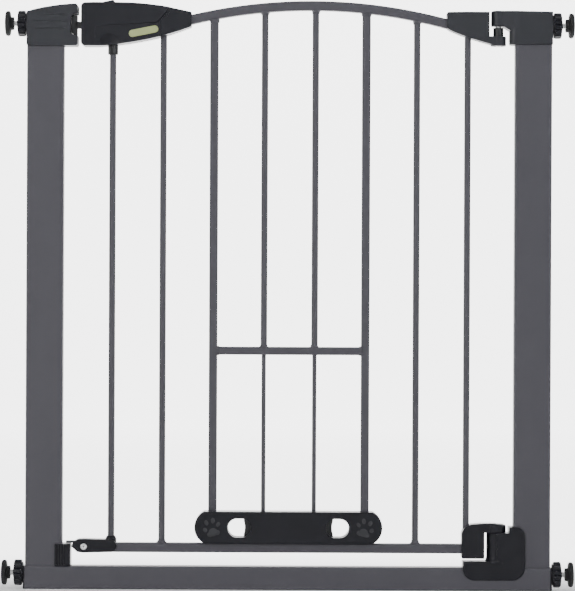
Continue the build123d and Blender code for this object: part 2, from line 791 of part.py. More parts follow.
with BuildPart() as upper_arm:
    with BuildSketch(Plane.XZ):
        with BuildLine():
            Line((arm_left, 775.3), (arm_left, 796.6))
            Line((arm_left, 796.6), (arm_left + 1.6, 798.0))
            Line((arm_left + 1.6, 798.0), (arm_right, 798.3))
            Line((arm_right, 798.3), (arm_right, lug_top))
            Line((arm_right, lug_top), (hinge_x, lug_top))
            Line((hinge_x, lug_top), (hinge_x, lug_bottom))
            ThreePointArc((hinge_x, lug_bottom), (249.5, 761.0), (arm_left, 775.3))
        make_face()
    extrude(amount=arm_half_depth, both=True)
    side_edges = upper_arm.faces().filter_by(Axis.Y).edges()
    fillet(side_edges.filter_by(lambda e: (e @ 0.5).X < arm_right - 1), 1.6)
    with BuildSketch(Plane.XY.offset(lug_bottom)):
        with Locations((hinge_x, 0)):
            Circle(10.7)
    extrude(amount=lug_top - lug_bottom)
    with BuildSketch(Plane.XY.offset(lug_bottom - 5)):
        with Locations((hinge_x, 0)):
            Circle(sleeve_radius + running)
    extrude(amount=18.2, mode=Mode.SUBTRACT)
    add(arch_void, mode=Mode.SUBTRACT)
    with BuildSketch(Plane.XY.offset(750)):
        with Locations((hinge_stile_x, 0)):
            Circle(bar_radius + 0.15)
    extrude(amount=22.0, mode=Mode.SUBTRACT)
finish(upper_arm, "upper_hinge_arm")

lower_arm_left, lower_arm_right = 239.8, hinge_x - column_radius - swing_gap
lower_arm_bottom, lower_arm_top = 44.4, 91.5
lower_arm_half_depth = 11.0

with BuildPart() as lower_arm:
    with BuildSketch(Plane.XZ):
        with BuildLine():
            Line((lower_arm_left, lower_arm_bottom + 3), (lower_arm_left, lower_arm_top - 10))
            ThreePointArc(
                (lower_arm_left, lower_arm_top - 10),
                (lower_arm_left + 2.9, lower_arm_top - 2.9),
                (lower_arm_left + 10.0, lower_arm_top),
            )
            Polyline(
                (lower_arm_left + 10.0, lower_arm_top),
                (lower_arm_right, lower_arm_top),
                (lower_arm_right, lower_arm_bottom),
                (lower_arm_left + 3, lower_arm_bottom),
                (lower_arm_left, lower_arm_bottom + 3),
            )
        make_face()
    extrude(amount=lower_arm_half_depth, both=True)
    fillet(lower_arm.faces().filter_by(Axis.Y).edges(), 1.5)
    with BuildSketch(Plane.XY.offset(column_top + slip)):
        with Locations((lower_arm_right - 2.0, 0)):
            Rectangle(
                hinge_x - lower_arm_right + 2.0,
                2 * lower_arm_half_depth - 3.0,
                align=(Align.MIN, Align.CENTER),
            )
    extrude(amount=lower_arm_top - 0.6 - column_top - slip)
    with BuildSketch(Plane.XY.offset(column_top + slip)):
        with Locations((hinge_x, 0)):
            Circle(column_radius)
    extrude(amount=lower_arm_top - 0.6 - column_top - slip)
    # low crown along the top
    with BuildSketch(Plane.XZ):
        with BuildLine():
            ThreePointArc(
                (lower_arm_left + 10.0, lower_arm_top - 0.7),
                (hinge_x - 14.0, lower_arm_top + 2.3),
                (hinge_x + 11.4, lower_arm_top - 0.7),
            )
            Line((hinge_x + 11.4, lower_arm_top - 0.7), (lower_arm_left + 10.0, lower_arm_top - 0.7))
        make_face()
    extrude(amount=6.0, both=True)
    with BuildSketch(Plane.XY.offset(spigot_bottom)):
        with Locations((hinge_x, 0)):
            Circle(spigot_radius)
        with Locations((hinge_x + spigot_flat, 0)):
            Rectangle(20.0, 20.0, align=(Align.MIN, Align.CENTER), mode=Mode.SUBTRACT)
    extrude(amount=column_top + 2 - spigot_bottom)
    with BuildSketch(Plane.YZ.offset(200.0)):
        with Locations((0, bottom_rail_z)):
            RectangleRounded(rail + 0.1, rail + 0.1, rail_corner)
    extrude(amount=62.2, mode=Mode.SUBTRACT)
    with BuildSketch(Plane.XY.offset(bottom_rail_z)):
        with Locations((hinge_stile_x, 0)):
            Circle(bar_radius + 0.05)
    extrude(amount=60.0, mode=Mode.SUBTRACT)
finish(lower_arm, "lower_hinge_arm")

# ---------------------------------------------------------------- bottom catch on the latch corner
catch_top, catch_bottom = 69.4, 50.2
catch_tip = -298.0
catch_right = -235.5
catch_half_depth = 10.0

with BuildPart() as catch:
    with BuildSketch(Plane.XZ):
        with BuildLine():
            Polyline(
                (catch_tip, 58.5),
                (catch_tip + 0.8, 62.0),
                (catch_tip + 4.0, 66.5),
                (catch_tip + 9.0, catch_top - 0.4),
                (catch_tip + 16.0, catch_top),
                (catch_right - 7.0, catch_top - 1.2),
            )
            ThreePointArc(
                (catch_right - 7.0, catch_top - 1.2), (catch_right, 60.0), (catch_right - 6.0, 51.2)
            )
            Polyline(
                (catch_right - 6.0, 51.2),
                (catch_tip + 16.0, catch_bottom),
                (catch_tip + 8.0, catch_bottom + 1.0),
                (catch_tip, 58.5),
            )
        make_face()
    extrude(amount=catch_half_depth, both=True)
    fillet(catch.faces().filter_by(Axis.Y).edges(), 1.8)
    with BuildSketch(Plane.XY.offset(64.0)):
        with Locations((latch_stile_x, 0)):
            Circle(7.2)
    extrude(amount=9.0)
    chamfer(catch.faces().sort_by(Axis.Z)[-1].edges(), 0.8)
    with BuildSketch(Plane.XZ):
        with Locations((-306.0, 64.8)):
            Rectangle(14.0, 2.8, align=(Align.MIN, Align.CENTER))
    extrude(amount=4.8, both=True)
    with BuildSketch(Plane.YZ.offset(-287.2)):
        with Locations((0, bottom_rail_z)):
            RectangleRounded(rail + 0.1, rail + 0.1, rail_corner)
    extrude(amount=100.0, mode=Mode.SUBTRACT)
    with BuildSketch(Plane.XY.offset(bottom_rail_z)):
        with Locations((latch_stile_x, 0)):
            Circle(bar_radius + 0.05)
    extrude(amount=60.0, mode=Mode.SUBTRACT)
    with BuildSketch(Plane.XZ.offset(catch_half_depth + 1)):
        with Locations(catch_rivet):
            Circle(rivet_radius)
    extrude(amount=-30.0, mode=Mode.SUBTRACT)
finish(catch, "bottom_catch")

with BuildPart() as rivet:
    # a tubular rivet: rolled heads front and back, outside the moulding
    with BuildSketch(Plane.XZ.offset(catch_half_depth)):
        with Locations(catch_rivet):
            Circle(4.6)
            Circle(1.4, mode=Mode.SUBTRACT)
    extrude(amount=1.2)
    with BuildSketch(Plane.XZ.offset(-catch_half_depth)):
        with Locations(catch_rivet):
            Circle(4.6)
            Circle(1.4, mode=Mode.SUBTRACT)
    extrude(amount=-1.2)
    fillet(rivet.edges().filter_by(lambda e: abs(abs((e @ 0.5).Y) - catch_half_depth - 1.2) < 0.01), 0.5)
    with BuildSketch(Plane.XZ.offset(catch_half_depth)):
        with Locations(catch_rivet):
            Circle(rivet_radius - 0.02)
            Circle(1.4, mode=Mode.SUBTRACT)
    extrude(amount=-2 * catch_half_depth)
finish(rivet, "bottom_catch_rivet")

# ---------------------------------------------------------------- sliding pet door
shoe_arc = 24.5  # radius of the rounded ends, about the bay uprights
shoe_middle_z = (shoe_bottom + shoe_top) / 2
slider_half_depth = 2.6
squeeze_travel = 6.0
plate_edge = 60.0  # finger plate from the middle of the pet door, at rest
shoe_screws = [(-119.0, 86.0), (-15.0, 97.0), (17.0, 97.0), (121.0, 86.0)]


def shoe_outline():
    """A bar with round ends, cut level at the top and bottom."""
    for x in (bay_left_x, bay_right_x):
        with Locations((x, shoe_middle_z)):
            Circle(shoe_arc)
    with Locations((bay_centre, shoe_middle_z)):
        Rectangle(3 * bar_pitch, shoe_height)


def cut_finger_holes(margin):
    width = 2 * (finger_hole_radius + margin)
    with Locations(*[(bay_centre + s * finger_hole_offset, finger_z) for s in (-1, 1)]):
        SlotOverall(width + finger_hole_stretch, width)


def make_shoe_cover(front, name):
    sign = 1 if front else -1
    with BuildPart() as cover:
        with BuildSketch(Plane.XZ):
            shoe_outline()
            with Locations((bay_centre, shoe_middle_z)):
                Rectangle(400, shoe_height, mode=Mode.INTERSECT)
        extrude(amount=sign * shoe_half_depth)
        outer = cover.faces().sort_by(Axis.Y)[0 if front else -1]
        fillet(outer.edges(), 2.0)
        with BuildSketch(Plane.XZ):
            cut_finger_holes(0.0)
        extrude(amount=sign * 30.0, mode=Mode.SUBTRACT)
        rims = cover.faces().sort_by(Axis.Y)[0 if front else -1].inner_wires().edges()
        fillet(rims, 1.2)
        # channels for the two bay uprights, sockets for the rods, and the slider race
        with BuildSketch(Plane.XY.offset(shoe_bottom - 5)):
            with Locations((bay_left_x, 0), (bay_right_x, 0)):
                Rectangle(bay_bar + 2 * slip, bay_bar + 2 * slip)
        extrude(amount=shoe_height + 10, mode=Mode.SUBTRACT)
        with BuildSketch(Plane.XY.offset(shoe_top - 20.0)):
            with Locations(*[(x, 0) for x in tube_x]):
                Circle(rod_radius + 0.02)
        extrude(amount=30.0, mode=Mode.SUBTRACT)
        with BuildSketch(Plane.XZ):
            with Locations(*[(bay_centre + s * 73.0, finger_z) for s in (-1, 1)]):
                Rectangle(60.0, 33.0)
            with Locations(*[(bay_centre + s * 35.0, finger_z - 8.0) for s in (-1, 1)]):
                Rectangle(26.0, 8.4)
        extrude(amount=sign * (slider_half_depth + slip), mode=Mode.SUBTRACT)
        with BuildSketch(Plane.XZ):
            with Locations(*[(bay_centre + s * 35.0, finger_z - 8.0) for s in (-1, 1)]):
                Rectangle(26.0, 8.4)
        extrude(amount=sign * 4.2, mode=Mode.SUBTRACT)
        if front:
            with Locations(*[Location((x, 0, z), (90, 0, 0)) for x, z in shoe_screws]):
                Hole(screw_shank_radius, depth=7.0)
        else:
            with Locations(*[Location((x, shoe_half_depth, z), (90, 0, 0)) for x, z in shoe_screws]):
                CounterBoreHole(screw_shank_radius, 3.3, 2.2)
    finish(cover, name)


make_shoe_cover(True, "pet_door_front_cover")
make_shoe_cover(False, "pet_door_back_cover")
make_screws(
    [(x, shoe_half_depth - 2.2, z) for x, z in shoe_screws], "pet_door_screws", 15.0, head_height=1.8
)

rod_top = 372.0
for x, place in zip(tube_x, ("left", "right")):
    with BuildPart() as pet_rod:
        with BuildSketch(Plane.XY.offset(shoe_top - 19.8)):
            with Locations((x, 0)):
                Circle(rod_radius)
        extrude(amount=rod_top - shoe_top + 19.8)
        chamfer(pet_rod.edges().sort_by(Axis.Z)[-1], 0.8)
    finish(pet_rod, f"pet_door_rod_{place}")


def make_squeeze_slider(side, name):
    """Finger plate and lock pin in one flat moulding, with a window round the finger hole."""
    inner_face = 3 * bar_pitch / 2 - bay_bar / 2 - slip - 0.3
    with BuildPart() as slider:
        with BuildSketch(Plane.XZ):
            with Locations((bay_centre + side * 73.0, finger_z)):
                Rectangle(46.0, 32.0)
            with Locations((bay_centre + side * (finger_hole_offset + squeeze_travel / 2), finger_z)):
                SlotOverall(
                    2 * finger_hole_radius + finger_hole_stretch + squeeze_travel + 2.0,
                    2 * finger_hole_radius + 2.0,
                    mode=Mode.SUBTRACT,
                )
        extrude(amount=slider_half_depth, both=True)
        # the finger plate closes the inner end of the hole; its edge is hollowed for a fingertip
        with BuildSketch(Plane.XZ):
            with Locations((bay_centre + side * (plate_edge - 4.5), finger_z)):
                Rectangle(12.0, 2 * finger_hole_radius + 2.4)
            with Locations((bay_centre + side * (plate_edge + 27.0), finger_z)):
                Circle(27.0, mode=Mode.SUBTRACT)
        extrude(amount=slider_half_depth, both=True)
        # lock pin towards the bay upright, and the spring post on the other end
        with BuildSketch(Plane.YZ.offset(bay_centre + side * 90.0)):
            with Locations((0, finger_z)):
                Circle(2.4)
        extrude(amount=side * (inner_face - 90.0))
        with BuildSketch(Plane.YZ.offset(bay_centre + side * 47.0)):
            with Locations((0, finger_z - 8.0)):
                Circle(1.6)
        extrude(amount=-side * 4.0)
    finish(slider, name)


make_squeeze_slider(-1, "squeeze_slider_left")
make_squeeze_slider(1, "squeeze_slider_right")
make_spring((bay_centre - 44.6, 0, finger_z - 8.0), 20.0, 2.6, 0.4, 7, "squeeze_spring_left")
make_spring((bay_centre + 24.6, 0, finger_z - 8.0), 20.0, 2.6, 0.4, 7, "squeeze_spring_right")
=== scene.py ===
import math

import bmesh
import bpy
from mathutils import Matrix, Vector, noise


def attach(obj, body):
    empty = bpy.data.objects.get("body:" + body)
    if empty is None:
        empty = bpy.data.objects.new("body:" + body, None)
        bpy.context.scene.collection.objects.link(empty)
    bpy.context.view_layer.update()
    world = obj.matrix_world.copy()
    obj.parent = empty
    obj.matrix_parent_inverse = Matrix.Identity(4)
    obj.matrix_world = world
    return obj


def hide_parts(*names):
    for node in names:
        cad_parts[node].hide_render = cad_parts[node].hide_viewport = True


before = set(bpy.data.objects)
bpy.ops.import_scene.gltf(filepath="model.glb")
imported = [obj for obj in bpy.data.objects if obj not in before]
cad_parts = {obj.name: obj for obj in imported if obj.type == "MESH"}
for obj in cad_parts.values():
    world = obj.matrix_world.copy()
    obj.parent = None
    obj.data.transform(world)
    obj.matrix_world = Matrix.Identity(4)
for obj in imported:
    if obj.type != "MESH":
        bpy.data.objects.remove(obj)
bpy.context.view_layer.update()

# ---------------------------------------------------------------- studio
# Matt white paper covers the floor and curves up all round, and glows behind the gate. Soft boxes
# stand in front and overhead, narrow strips light the edges, and the camera looks on square.


class Wire:
    """An output of a node in a finish. Arithmetic on it adds Math nodes."""

    def __init__(self, finish, socket):
        self.finish, self.socket = finish, socket

    def maths(self, operation, *terms):
        return self.finish.node("Math", {"operation": operation}, dict(enumerate(terms)))

    def __add__(self, other):
        return self.maths("ADD", self, other)

    def __radd__(self, other):
        return self.maths("ADD", other, self)

    def __sub__(self, other):
        return self.maths("SUBTRACT", self, other)

    def __rsub__(self, other):
        return self.maths("SUBTRACT", other, self)

    def __mul__(self, other):
        return self.maths("MULTIPLY", self, other)

    def __rmul__(self, other):
        return self.maths("MULTIPLY", other, self)


class Finish:
    """A material. Its constants are set on the shader, and node() adds a node of any other kind."""

    def __init__(self, name, **constants):
        self.material = bpy.data.materials.new(name)
        self.material.use_nodes = True
        self.tree = self.material.node_tree
        self.shader = self.tree.nodes["Principled BSDF"]
        self.shows(**constants)
        self.place = self.node("TexCoord", output="Object")

    def plug(self, node, inputs):
        for key, value in inputs.items():
            if isinstance(value, Wire):
                self.tree.links.new(value.socket, node.inputs[key])
            else:
                node.inputs[key].default_value = value

    def shows(self, **inputs):
        self.plug(self.shader, {key.replace("_", " "): value for key, value in inputs.items()})

    def node(self, kind, settings=None, inputs=None, output=0):
        made = self.tree.nodes.new("ShaderNode" + kind)
        for key, value in (settings or {}).items():
            setattr(made, key, value)
        self.plug(made, inputs or {})
        return Wire(self, made.outputs[output])

    def grain(self, scale, detail=2.0, roughness=0.5, stretch=(1.0, 1.0, 1.0)):
        """Noise over the object, at this many cells a metre."""
        where = self.node("Mapping", {}, {"Vector": self.place, "Scale": stretch})
        return self.node(
            "TexNoise", {}, {"Vector": where, "Scale": scale, "Detail": detail, "Roughness": roughness}
        )

    def tint(self, amount, first, second):
        """A colour between two others."""
        return self.node("Mix", {"data_type": "RGBA"}, {0: amount, 6: first, 7: second}, output=2)

    def relief(self, height, distance, strength=1.0):
        """Raises the surface by height times distance metres."""
        self.shows(
            Normal=self.node(
                "Bump", {}, {"Height": height, "Distance": distance, "Strength": strength}, output="Normal"
            )
        )


def turned(profile, steps=64):
    """Spins a line of (radius, height) points about Z."""
    shape = bmesh.new()
    line = [shape.verts.new((radius, 0, height)) for radius, height in profile]
    edges = [shape.edges.new(pair) for pair in zip(line, line[1:])]
    bmesh.ops.spin(
        shape, geom=line + edges, cent=(0, 0, 0), axis=(0, 0, 1), angle=2 * math.pi,
        steps=steps, use_merge=True,
    )
    bmesh.ops.remove_doubles(shape, verts=shape.verts, dist=0.001)
    bmesh.ops.recalc_face_normals(shape, faces=shape.faces)
    return shape


paper_reach = 6.0
paper_fold = 1.7
paper = Finish("white_paper", Roughness=0.95, Specular_IOR_Level=0.1, Emission_Strength=3.6)
paper_fibre = paper.grain(30.0, 4.0)
across = paper.node("SeparateXYZ", {}, {0: paper.place}, output="X")
depth_back = paper.node("SeparateXYZ", {}, {0: paper.place}, output="Y")
rise = paper.node("SeparateXYZ", {}, {0: paper.place}, output="Z")
smooth = {"interpolation_type": "SMOOTHSTEP"}
behind = paper.node("MapRange", smooth, {"Value": depth_back, "From Min": -0.05, "From Max": 0.5})
sides = 0.42 + 0.114 * depth_back - paper.node("Math", {"operation": "ABSOLUTE"}, {0: across})
centred = paper.node("MapRange", smooth, {"Value": sides, "From Min": -2.6, "From Max": 0.0})
low = paper.node("MapRange", smooth, {"Value": rise, "From Min": 4.0, "From Max": 1.6})
paper.shows(
    Base_Color=paper.tint(paper_fibre, (0.86, 0.86, 0.86, 1), (0.9, 0.9, 0.9, 1)),
    Emission_Color=paper.tint(behind * centred * low, (0.045, 0.045, 0.045, 1), (1, 1, 1, 1)),
)
sweep = turned([(0, 0), (paper_reach, 0), (paper_reach, paper_reach)], 96)
rim = [e for e in sweep.edges if all(v.co.z < 0.1 and v.co.xy.length > paper_reach - 0.1 for v in e.verts)]
bmesh.ops.bevel(sweep, geom=rim, offset=paper_fold, segments=20, affect="EDGES", profile=0.5, material=-1)
backdrop_mesh = bpy.data.meshes.new("paper_sweep")
sweep.to_mesh(backdrop_mesh)
sweep.free()
backdrop_mesh.shade_smooth()
backdrop_mesh.materials.append(paper.material)
backdrop = bpy.data.objects.new("paper_sweep", backdrop_mesh)
bpy.context.scene.collection.objects.link(backdrop)


def soft_box(name, at, towards, width, height, power, colour=(1, 1, 1)):
    lamp = bpy.data.lights.new(name, "AREA")
    lamp.shape = "RECTANGLE"
    lamp.size, lamp.size_y = width, height
    lamp.energy, lamp.color = power, colour
    box = bpy.data.objects.new(name, lamp)
    box.location = at
    box.visible_camera = False
    box.rotation_euler = (Vector(towards) - Vector(at)).to_track_quat("-Z", "Y").to_euler()
    bpy.context.scene.collection.objects.link(box)


soft_box("soft_box_left", (-1.7, -2.5, 1.2), (0.1, 0, 0.5), 0.42, 1.7, 17)
soft_box("soft_box_right", (2.3, -2.0, 1.5), (0, 0, 0.5), 0.6, 1.6, 12, (0.8, 0.88, 1.0))
soft_box("soft_box_overhead", (0, -0.6, 2.6), (0, 0.1, 0.4), 2.4, 1.2, 20)
for side in (-1, 1):
    soft_box(f"edge_strip_{side}", (side * 2.6, -0.3, 0.8), (0, 0, 0.5), 0.5, 0.9, 6)
soft_box("strip_behind_camera", (0.1, -4.4, 1.6), (0, 0, 0.5), 0.4, 1.5, 9, (0.84, 0.9, 1.0))

world = bpy.data.worlds.new("studio")
bpy.context.scene.world = world
world.use_nodes = True
world.node_tree.nodes["Background"].inputs[0].default_value = (0.96, 0.97, 1.0, 1)
world.node_tree.nodes["Background"].inputs[1].default_value = 0.1

camera = bpy.data.objects.new("camera", bpy.data.cameras.new("camera"))
camera.data.lens = 154.3
camera.location = (-0.0016, -3.5, 0.406)
camera.rotation_euler = (math.radians(90.0), math.radians(-0.26), 0.0)
bpy.context.scene.collection.objects.link(camera)
bpy.context.scene.camera = camera

# ---------------------------------------------------------------- steel tube and bar
# Posts, threshold, rails and uprights are thin steel tube, welded and then sprayed with a charcoal
# powder that bakes to a fine orange peel with a few pale flecks. Handling scuffs it a little.
powder = Finish("charcoal_powder_coat", Metallic=0.0, Specular_IOR_Level=0.42, IOR=1.5)
peel = powder.grain(700.0, 2.0, 0.45)
speck = powder.grain(2600.0, 1.0)
cloud = powder.grain(7.0, 5.0, 0.55, (1.0, 1.0, 0.35))
scuff = powder.grain(60.0, 6.0, 0.7, (1.0, 1.0, 0.12))
flake = powder.node("MapRange", {}, {"Value": speck, "From Min": 0.6, "From Max": 0.78})
powder_tone = powder.tint(cloud, (0.052, 0.0495, 0.06, 1), (0.068, 0.065, 0.077, 1))
powder.shows(
    Base_Color=powder.tint(flake * 0.45, powder_tone, (0.15, 0.147, 0.16, 1)),
    Roughness=0.36 + 0.1 * scuff + 0.06 * peel,
)
powder.relief(peel + 0.35 * speck, 0.00006, 0.6)

steel_nodes = ["latch_post", "hinge_post", "threshold_tube", "arch_rail", "bottom_rail"]
steel_nodes += ["latch_stile", "upright_2", "upright_7", "hinge_stile", "pet_bay_crossbar"]
for kind in ("guide_tube", "pet_bay_upright", "pet_door_rod"):
    steel_nodes += [f"{kind}_left", f"{kind}_right"]


def paint(names, finish):
    for name in names:
        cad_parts[name].material_slots[0].material = finish.material


paint(steel_nodes, powder)

# ---------------------------------------------------------------- welds
# The bars are welded to the rails. Where a joint is in the open, the torch leaves a small uneven
# fillet round the end of the bar, and the powder coat runs over it.
bar_radius = 4.5
bay_bar = 11.5
bar_pitch = 70
bay_middle = 1.0
bar_places = [bay_middle + bar_pitch * (n - 3.5) for n in range(8)]
latch_stile_x = bar_places[0]
bottom_rail_top = 64.0
crossbar_z = 329.5
crossbar = 11.0
arch_middle = (32.0, 87.5)
arch_underside = 712.0


def gather(shapes):
    """Puts several shapes into one."""
    whole = bmesh.new()
    for shape in shapes:
        part = bpy.data.meshes.new("part")
        shape.to_mesh(part)
        shape.free()
        whole.from_mesh(part)
        bpy.data.meshes.remove(part)
    return whole


def finished(shape, name, body, finish, stands_for=(), crease=34.0):
    """Makes a piece of the gate from a shape worked in millimetres."""
    bmesh.ops.scale(shape, vec=(0.001, 0.001, 0.001), verts=shape.verts)
    mesh = bpy.data.meshes.new(name)
    shape.to_mesh(mesh)
    shape.free()
    mesh.shade_smooth()
    mesh.set_sharp_from_angle(angle=math.radians(crease))
    mesh.materials.append(finish.material)
    piece = bpy.data.objects.new(name, mesh)
    bpy.context.scene.collection.objects.link(piece)
    piece.modifiers.new("even_shading", "WEIGHTED_NORMAL").keep_sharp = True
    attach(piece, body)
    if stands_for:
        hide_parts(*stands_for)


def weld(radius, at, tilt=0.0, square=False, reach=3.2, height=4.6, flip=False):
    """A fillet round a bar, its foot on the rail at this point."""
    bead = turned(
        [(radius - 0.6, height), (radius + 0.15, height), (radius + 0.7, height * 0.5),
         (radius + reach * 0.5, height * 0.2), (radius + reach, 0.0), (radius + reach, -1.0),
         (radius - 0.6, -1.0), (radius - 0.6, height)], 40)
    for vert in bead.verts:
        spread = math.hypot(vert.co.x, vert.co.y)
        if square:  # push the round section out to a square with soft corners
            outwards = (abs(vert.co.x / spread) ** 7 + abs(vert.co.y / spread) ** 7) ** (-1 / 7)
            vert.co.x *= outwards
            vert.co.y *= outwards
        if spread > radius + 0.1:
            ripple = noise.noise(vert.co * 0.45 + Vector(at) * 0.37)
            vert.co += Vector((vert.co.x, vert.co.y, 0)).normalized() * ripple * 0.7
            vert.co.z += ripple * 0.5 * (vert.co.z > 0)
    if flip:
        bmesh.ops.rotate(bead, verts=bead.verts, matrix=Matrix.Rotation(math.pi, 3, "X"))
    bmesh.ops.rotate(bead, verts=bead.verts, matrix=Matrix.Rotation(tilt, 3, "Y"))
    bmesh.ops.translate(bead, verts=bead.verts, vec=at)
    return bead


beads = [weld(bar_radius, (bar_places[n], 0, bottom_rail_top)) for n in (1, 6)]
for n in (2, 3, 4, 5, 6):
    lean = math.asin((bar_places[n] - arch_middle[0]) / arch_underside)
    top = (bar_places[n], 0, arch_middle[1] + arch_underside * math.cos(lean))
    square = n in (2, 5)
    beads.append(weld(bay_bar / 2 if square else bar_radius, top, lean, square, flip=True,
                      reach=1.6 if square else 2.6, height=4.2))
for n in (3, 4):
    beads.append(weld(bar_radius, (bar_places[n], 0, crossbar_z + crossbar / 2), reach=1.6, height=2.6))
for n, turn in ((2, 90), (5, -90)):
    end = (bar_places[n] + math.copysign(bay_bar / 2, turn), 0, crossbar_z)
    beads.append(weld(crossbar / 2, end, math.radians(turn), True, reach=1.4, height=3.0))
finished(gather(beads), "weld_beads", "gate", powder, crease=60)

# ---------------------------------------------------------------- pressure spindles
# A fluted thumb wheel turns on a zinc-plated threaded rod, and drives a round rubber-faced pad
# against the wall. There is one at each corner: two through the posts, two through the threshold.
moulding = Finish("black_moulding", Specular_IOR_Level=0.3, IOR=1.49)
spark = moulding.grain(3400.0, 2.0, 0.6)
sink = moulding.grain(45.0, 3.0)
rub = moulding.grain(24.0, 6.0, 0.68)
moulding.shows(
    Base_Color=moulding.tint(sink, (0.0055, 0.0055, 0.009, 1), (0.0085, 0.0083, 0.0125, 1)),
    Roughness=0.23 + 0.13 * rub + 0.05 * spark,
)
moulding.relief(spark + 0.5 * sink, 0.00005, 0.5)

zinc = Finish("zinc_plate", Metallic=1.0)
drawn = zinc.grain(900.0, 3.0, 0.6, (0.2, 1.0, 1.0))
stain = zinc.grain(120.0, 4.0)
zinc.shows(
    Base_Color=zinc.tint(stain, (0.56, 0.56, 0.57, 1), (0.68, 0.68, 0.67, 1)),
    Roughness=0.24 + 0.16 * drawn,
)
zinc.relief(drawn, 0.00002, 0.4)

rubber = Finish("pad_rubber", Specular_IOR_Level=0.3)
bloom = rubber.grain(300.0, 5.0, 0.7)
rubber.shows(
    Base_Color=rubber.tint(bloom, (0.01, 0.01, 0.011, 1), (0.022, 0.022, 0.023, 1)),
    Roughness=0.62 + 0.15 * bloom,
)
rubber.relief(bloom, 0.00008, 0.5)

wheel_radius = 17.8
thread_pitch = 2.0


def fluted(radius, flutes, depth, stations, per_flute=8):
    """A ring of rounded lobes along Z. Each station is a height and a share of the radius."""
    shape = bmesh.new()
    bmesh.ops.create_circle(shape, segments=flutes * per_flute, radius=radius)
    for vert in shape.verts:
        phase = math.atan2(vert.co.y, vert.co.x) * flutes
        vert.co *= 1 - depth * max(0.0, -math.cos(phase)) ** 1.6
    height, share = stations[0]
    bmesh.ops.scale(shape, vec=(share, share, 1), verts=shape.verts)
    bmesh.ops.translate(shape, vec=(0, 0, height), verts=shape.verts)
    edges = list(shape.edges)
    for next_height, next_share in stations[1:]:
        grown = bmesh.ops.extrude_edge_only(shape, edges=edges)["geom"]
        ring = [g for g in grown if isinstance(g, bmesh.types.BMVert)]
        edges = [g for g in grown if isinstance(g, bmesh.types.BMEdge)]
        ratio = next_share / share
        bmesh.ops.scale(shape, vec=(ratio, ratio, 1), verts=ring)
        bmesh.ops.translate(shape, vec=(0, 0, next_height - height), verts=ring)
        height, share = next_height, next_share
    bmesh.ops.remove_doubles(shape, verts=shape.verts, dist=0.001)
    bmesh.ops.recalc_face_normals(shape, faces=shape.faces)
    return shape


def threaded(root, crest, start, end):
    """A rod along Z with a real screw thread, cut off square at both ends."""
    steps = 20
    shape = bmesh.new()
    profile = [(root, 0.0), (root, 0.35), (crest, 0.85), (crest, 1.15), (root, 1.65), (root, 2.0)]
    line = [shape.verts.new((radius, 0, start - thread_pitch + rise)) for radius, rise in profile]
    edges = [shape.edges.new(pair) for pair in zip(line, line[1:])]
    turns = math.ceil((end - start) / thread_pitch) + 2
    bmesh.ops.spin(
        shape, geom=line + edges, cent=(0, 0, 0), axis=(0, 0, 1), angle=2 * math.pi * turns,
        dvec=(0, 0, thread_pitch / steps), steps=steps * turns,
    )
    bmesh.ops.remove_doubles(shape, verts=shape.verts, dist=0.002)
    for height, up in ((start, -1), (end, 1)):
        whole = list(shape.verts) + list(shape.edges) + list(shape.faces)
        bmesh.ops.bisect_plane(
            shape, geom=whole, plane_co=(0, 0, height), plane_no=(0, 0, up), clear_outer=True
        )
        bmesh.ops.remove_doubles(shape, verts=shape.verts, dist=0.002)
        ends = [e for e in shape.edges if e.is_boundary and abs(e.verts[0].co.z - height) < 0.01]
        bmesh.ops.holes_fill(shape, edges=ends)
    bmesh.ops.recalc_face_normals(shape, faces=shape.faces)
    return shape


for place in ("top_left", "top_right", "bottom_left", "bottom_right"):
    row, side = place.split("_")
    outwards = 1 if side == "right" else -1
    bearing, height = (362.4, 780) if row == "top" else (364.5, 22)
    axis = Matrix.Translation((outwards * bearing, 0, height))
    axis @= Matrix.Rotation(math.radians(outwards * 90), 4, "Y")
    grip = fluted(wheel_radius, 14, 0.1, [
        (2.2, 0.48), (2.2, 0.93), (2.7, 0.975), (3.7, 1.0), (10.6, 1.0), (11.9, 0.975), (12.6, 0.91),
        (12.6, 0.48), (2.2, 0.48)])
    core = turned([
        (4.2, 0.3), (14.1, 0.3), (14.5, 0.7), (14.5, 2.5), (9.6, 2.5), (9.6, 12.4), (9.2, 12.4), (8.9, 13.0),
        (7.9, 13.5), (7.4, 13.9), (4.5, 13.9), (4.2, 13.6), (4.2, 0.3)], 72)
    wheel = gather([grip, core])
    rod = threaded(3.35, 3.96, -44.0, 25.0)
    pad = turned([
        (0, 18.6), (8.4, 18.6), (9.0, 19.2), (9.0, 22.4), (9.6, 23.0), (15.4, 23.5), (16.9, 24.3),
        (17.3, 25.4), (17.3, 27.2), (16.9, 28.6), (15.6, 29.7), (14.2, 30.0), (13.4, 30.0), (13.1, 29.6),
        (12.4, 29.6), (12.1, 30.0), (9.9, 30.0), (9.6, 29.6), (8.9, 29.6), (8.6, 30.0), (0, 30.0)], 72)
    for shape in (wheel, rod, pad):
        bmesh.ops.transform(shape, matrix=axis, verts=shape.verts)
    finished(wheel, f"wheel_{place}", f"wheel_{place}", moulding, [f"thumb_wheel_{place}"])
    finished(rod, f"rod_{place}", f"spindle_{place}", zinc, [f"threaded_rod_{place}"], 50)
    finished(pad, f"pad_{place}", f"spindle_{place}", rubber, [f"wall_pad_{place}"], 50)
paint(["threshold_plug_latch_side", "threshold_plug_hinge_side"], moulding)

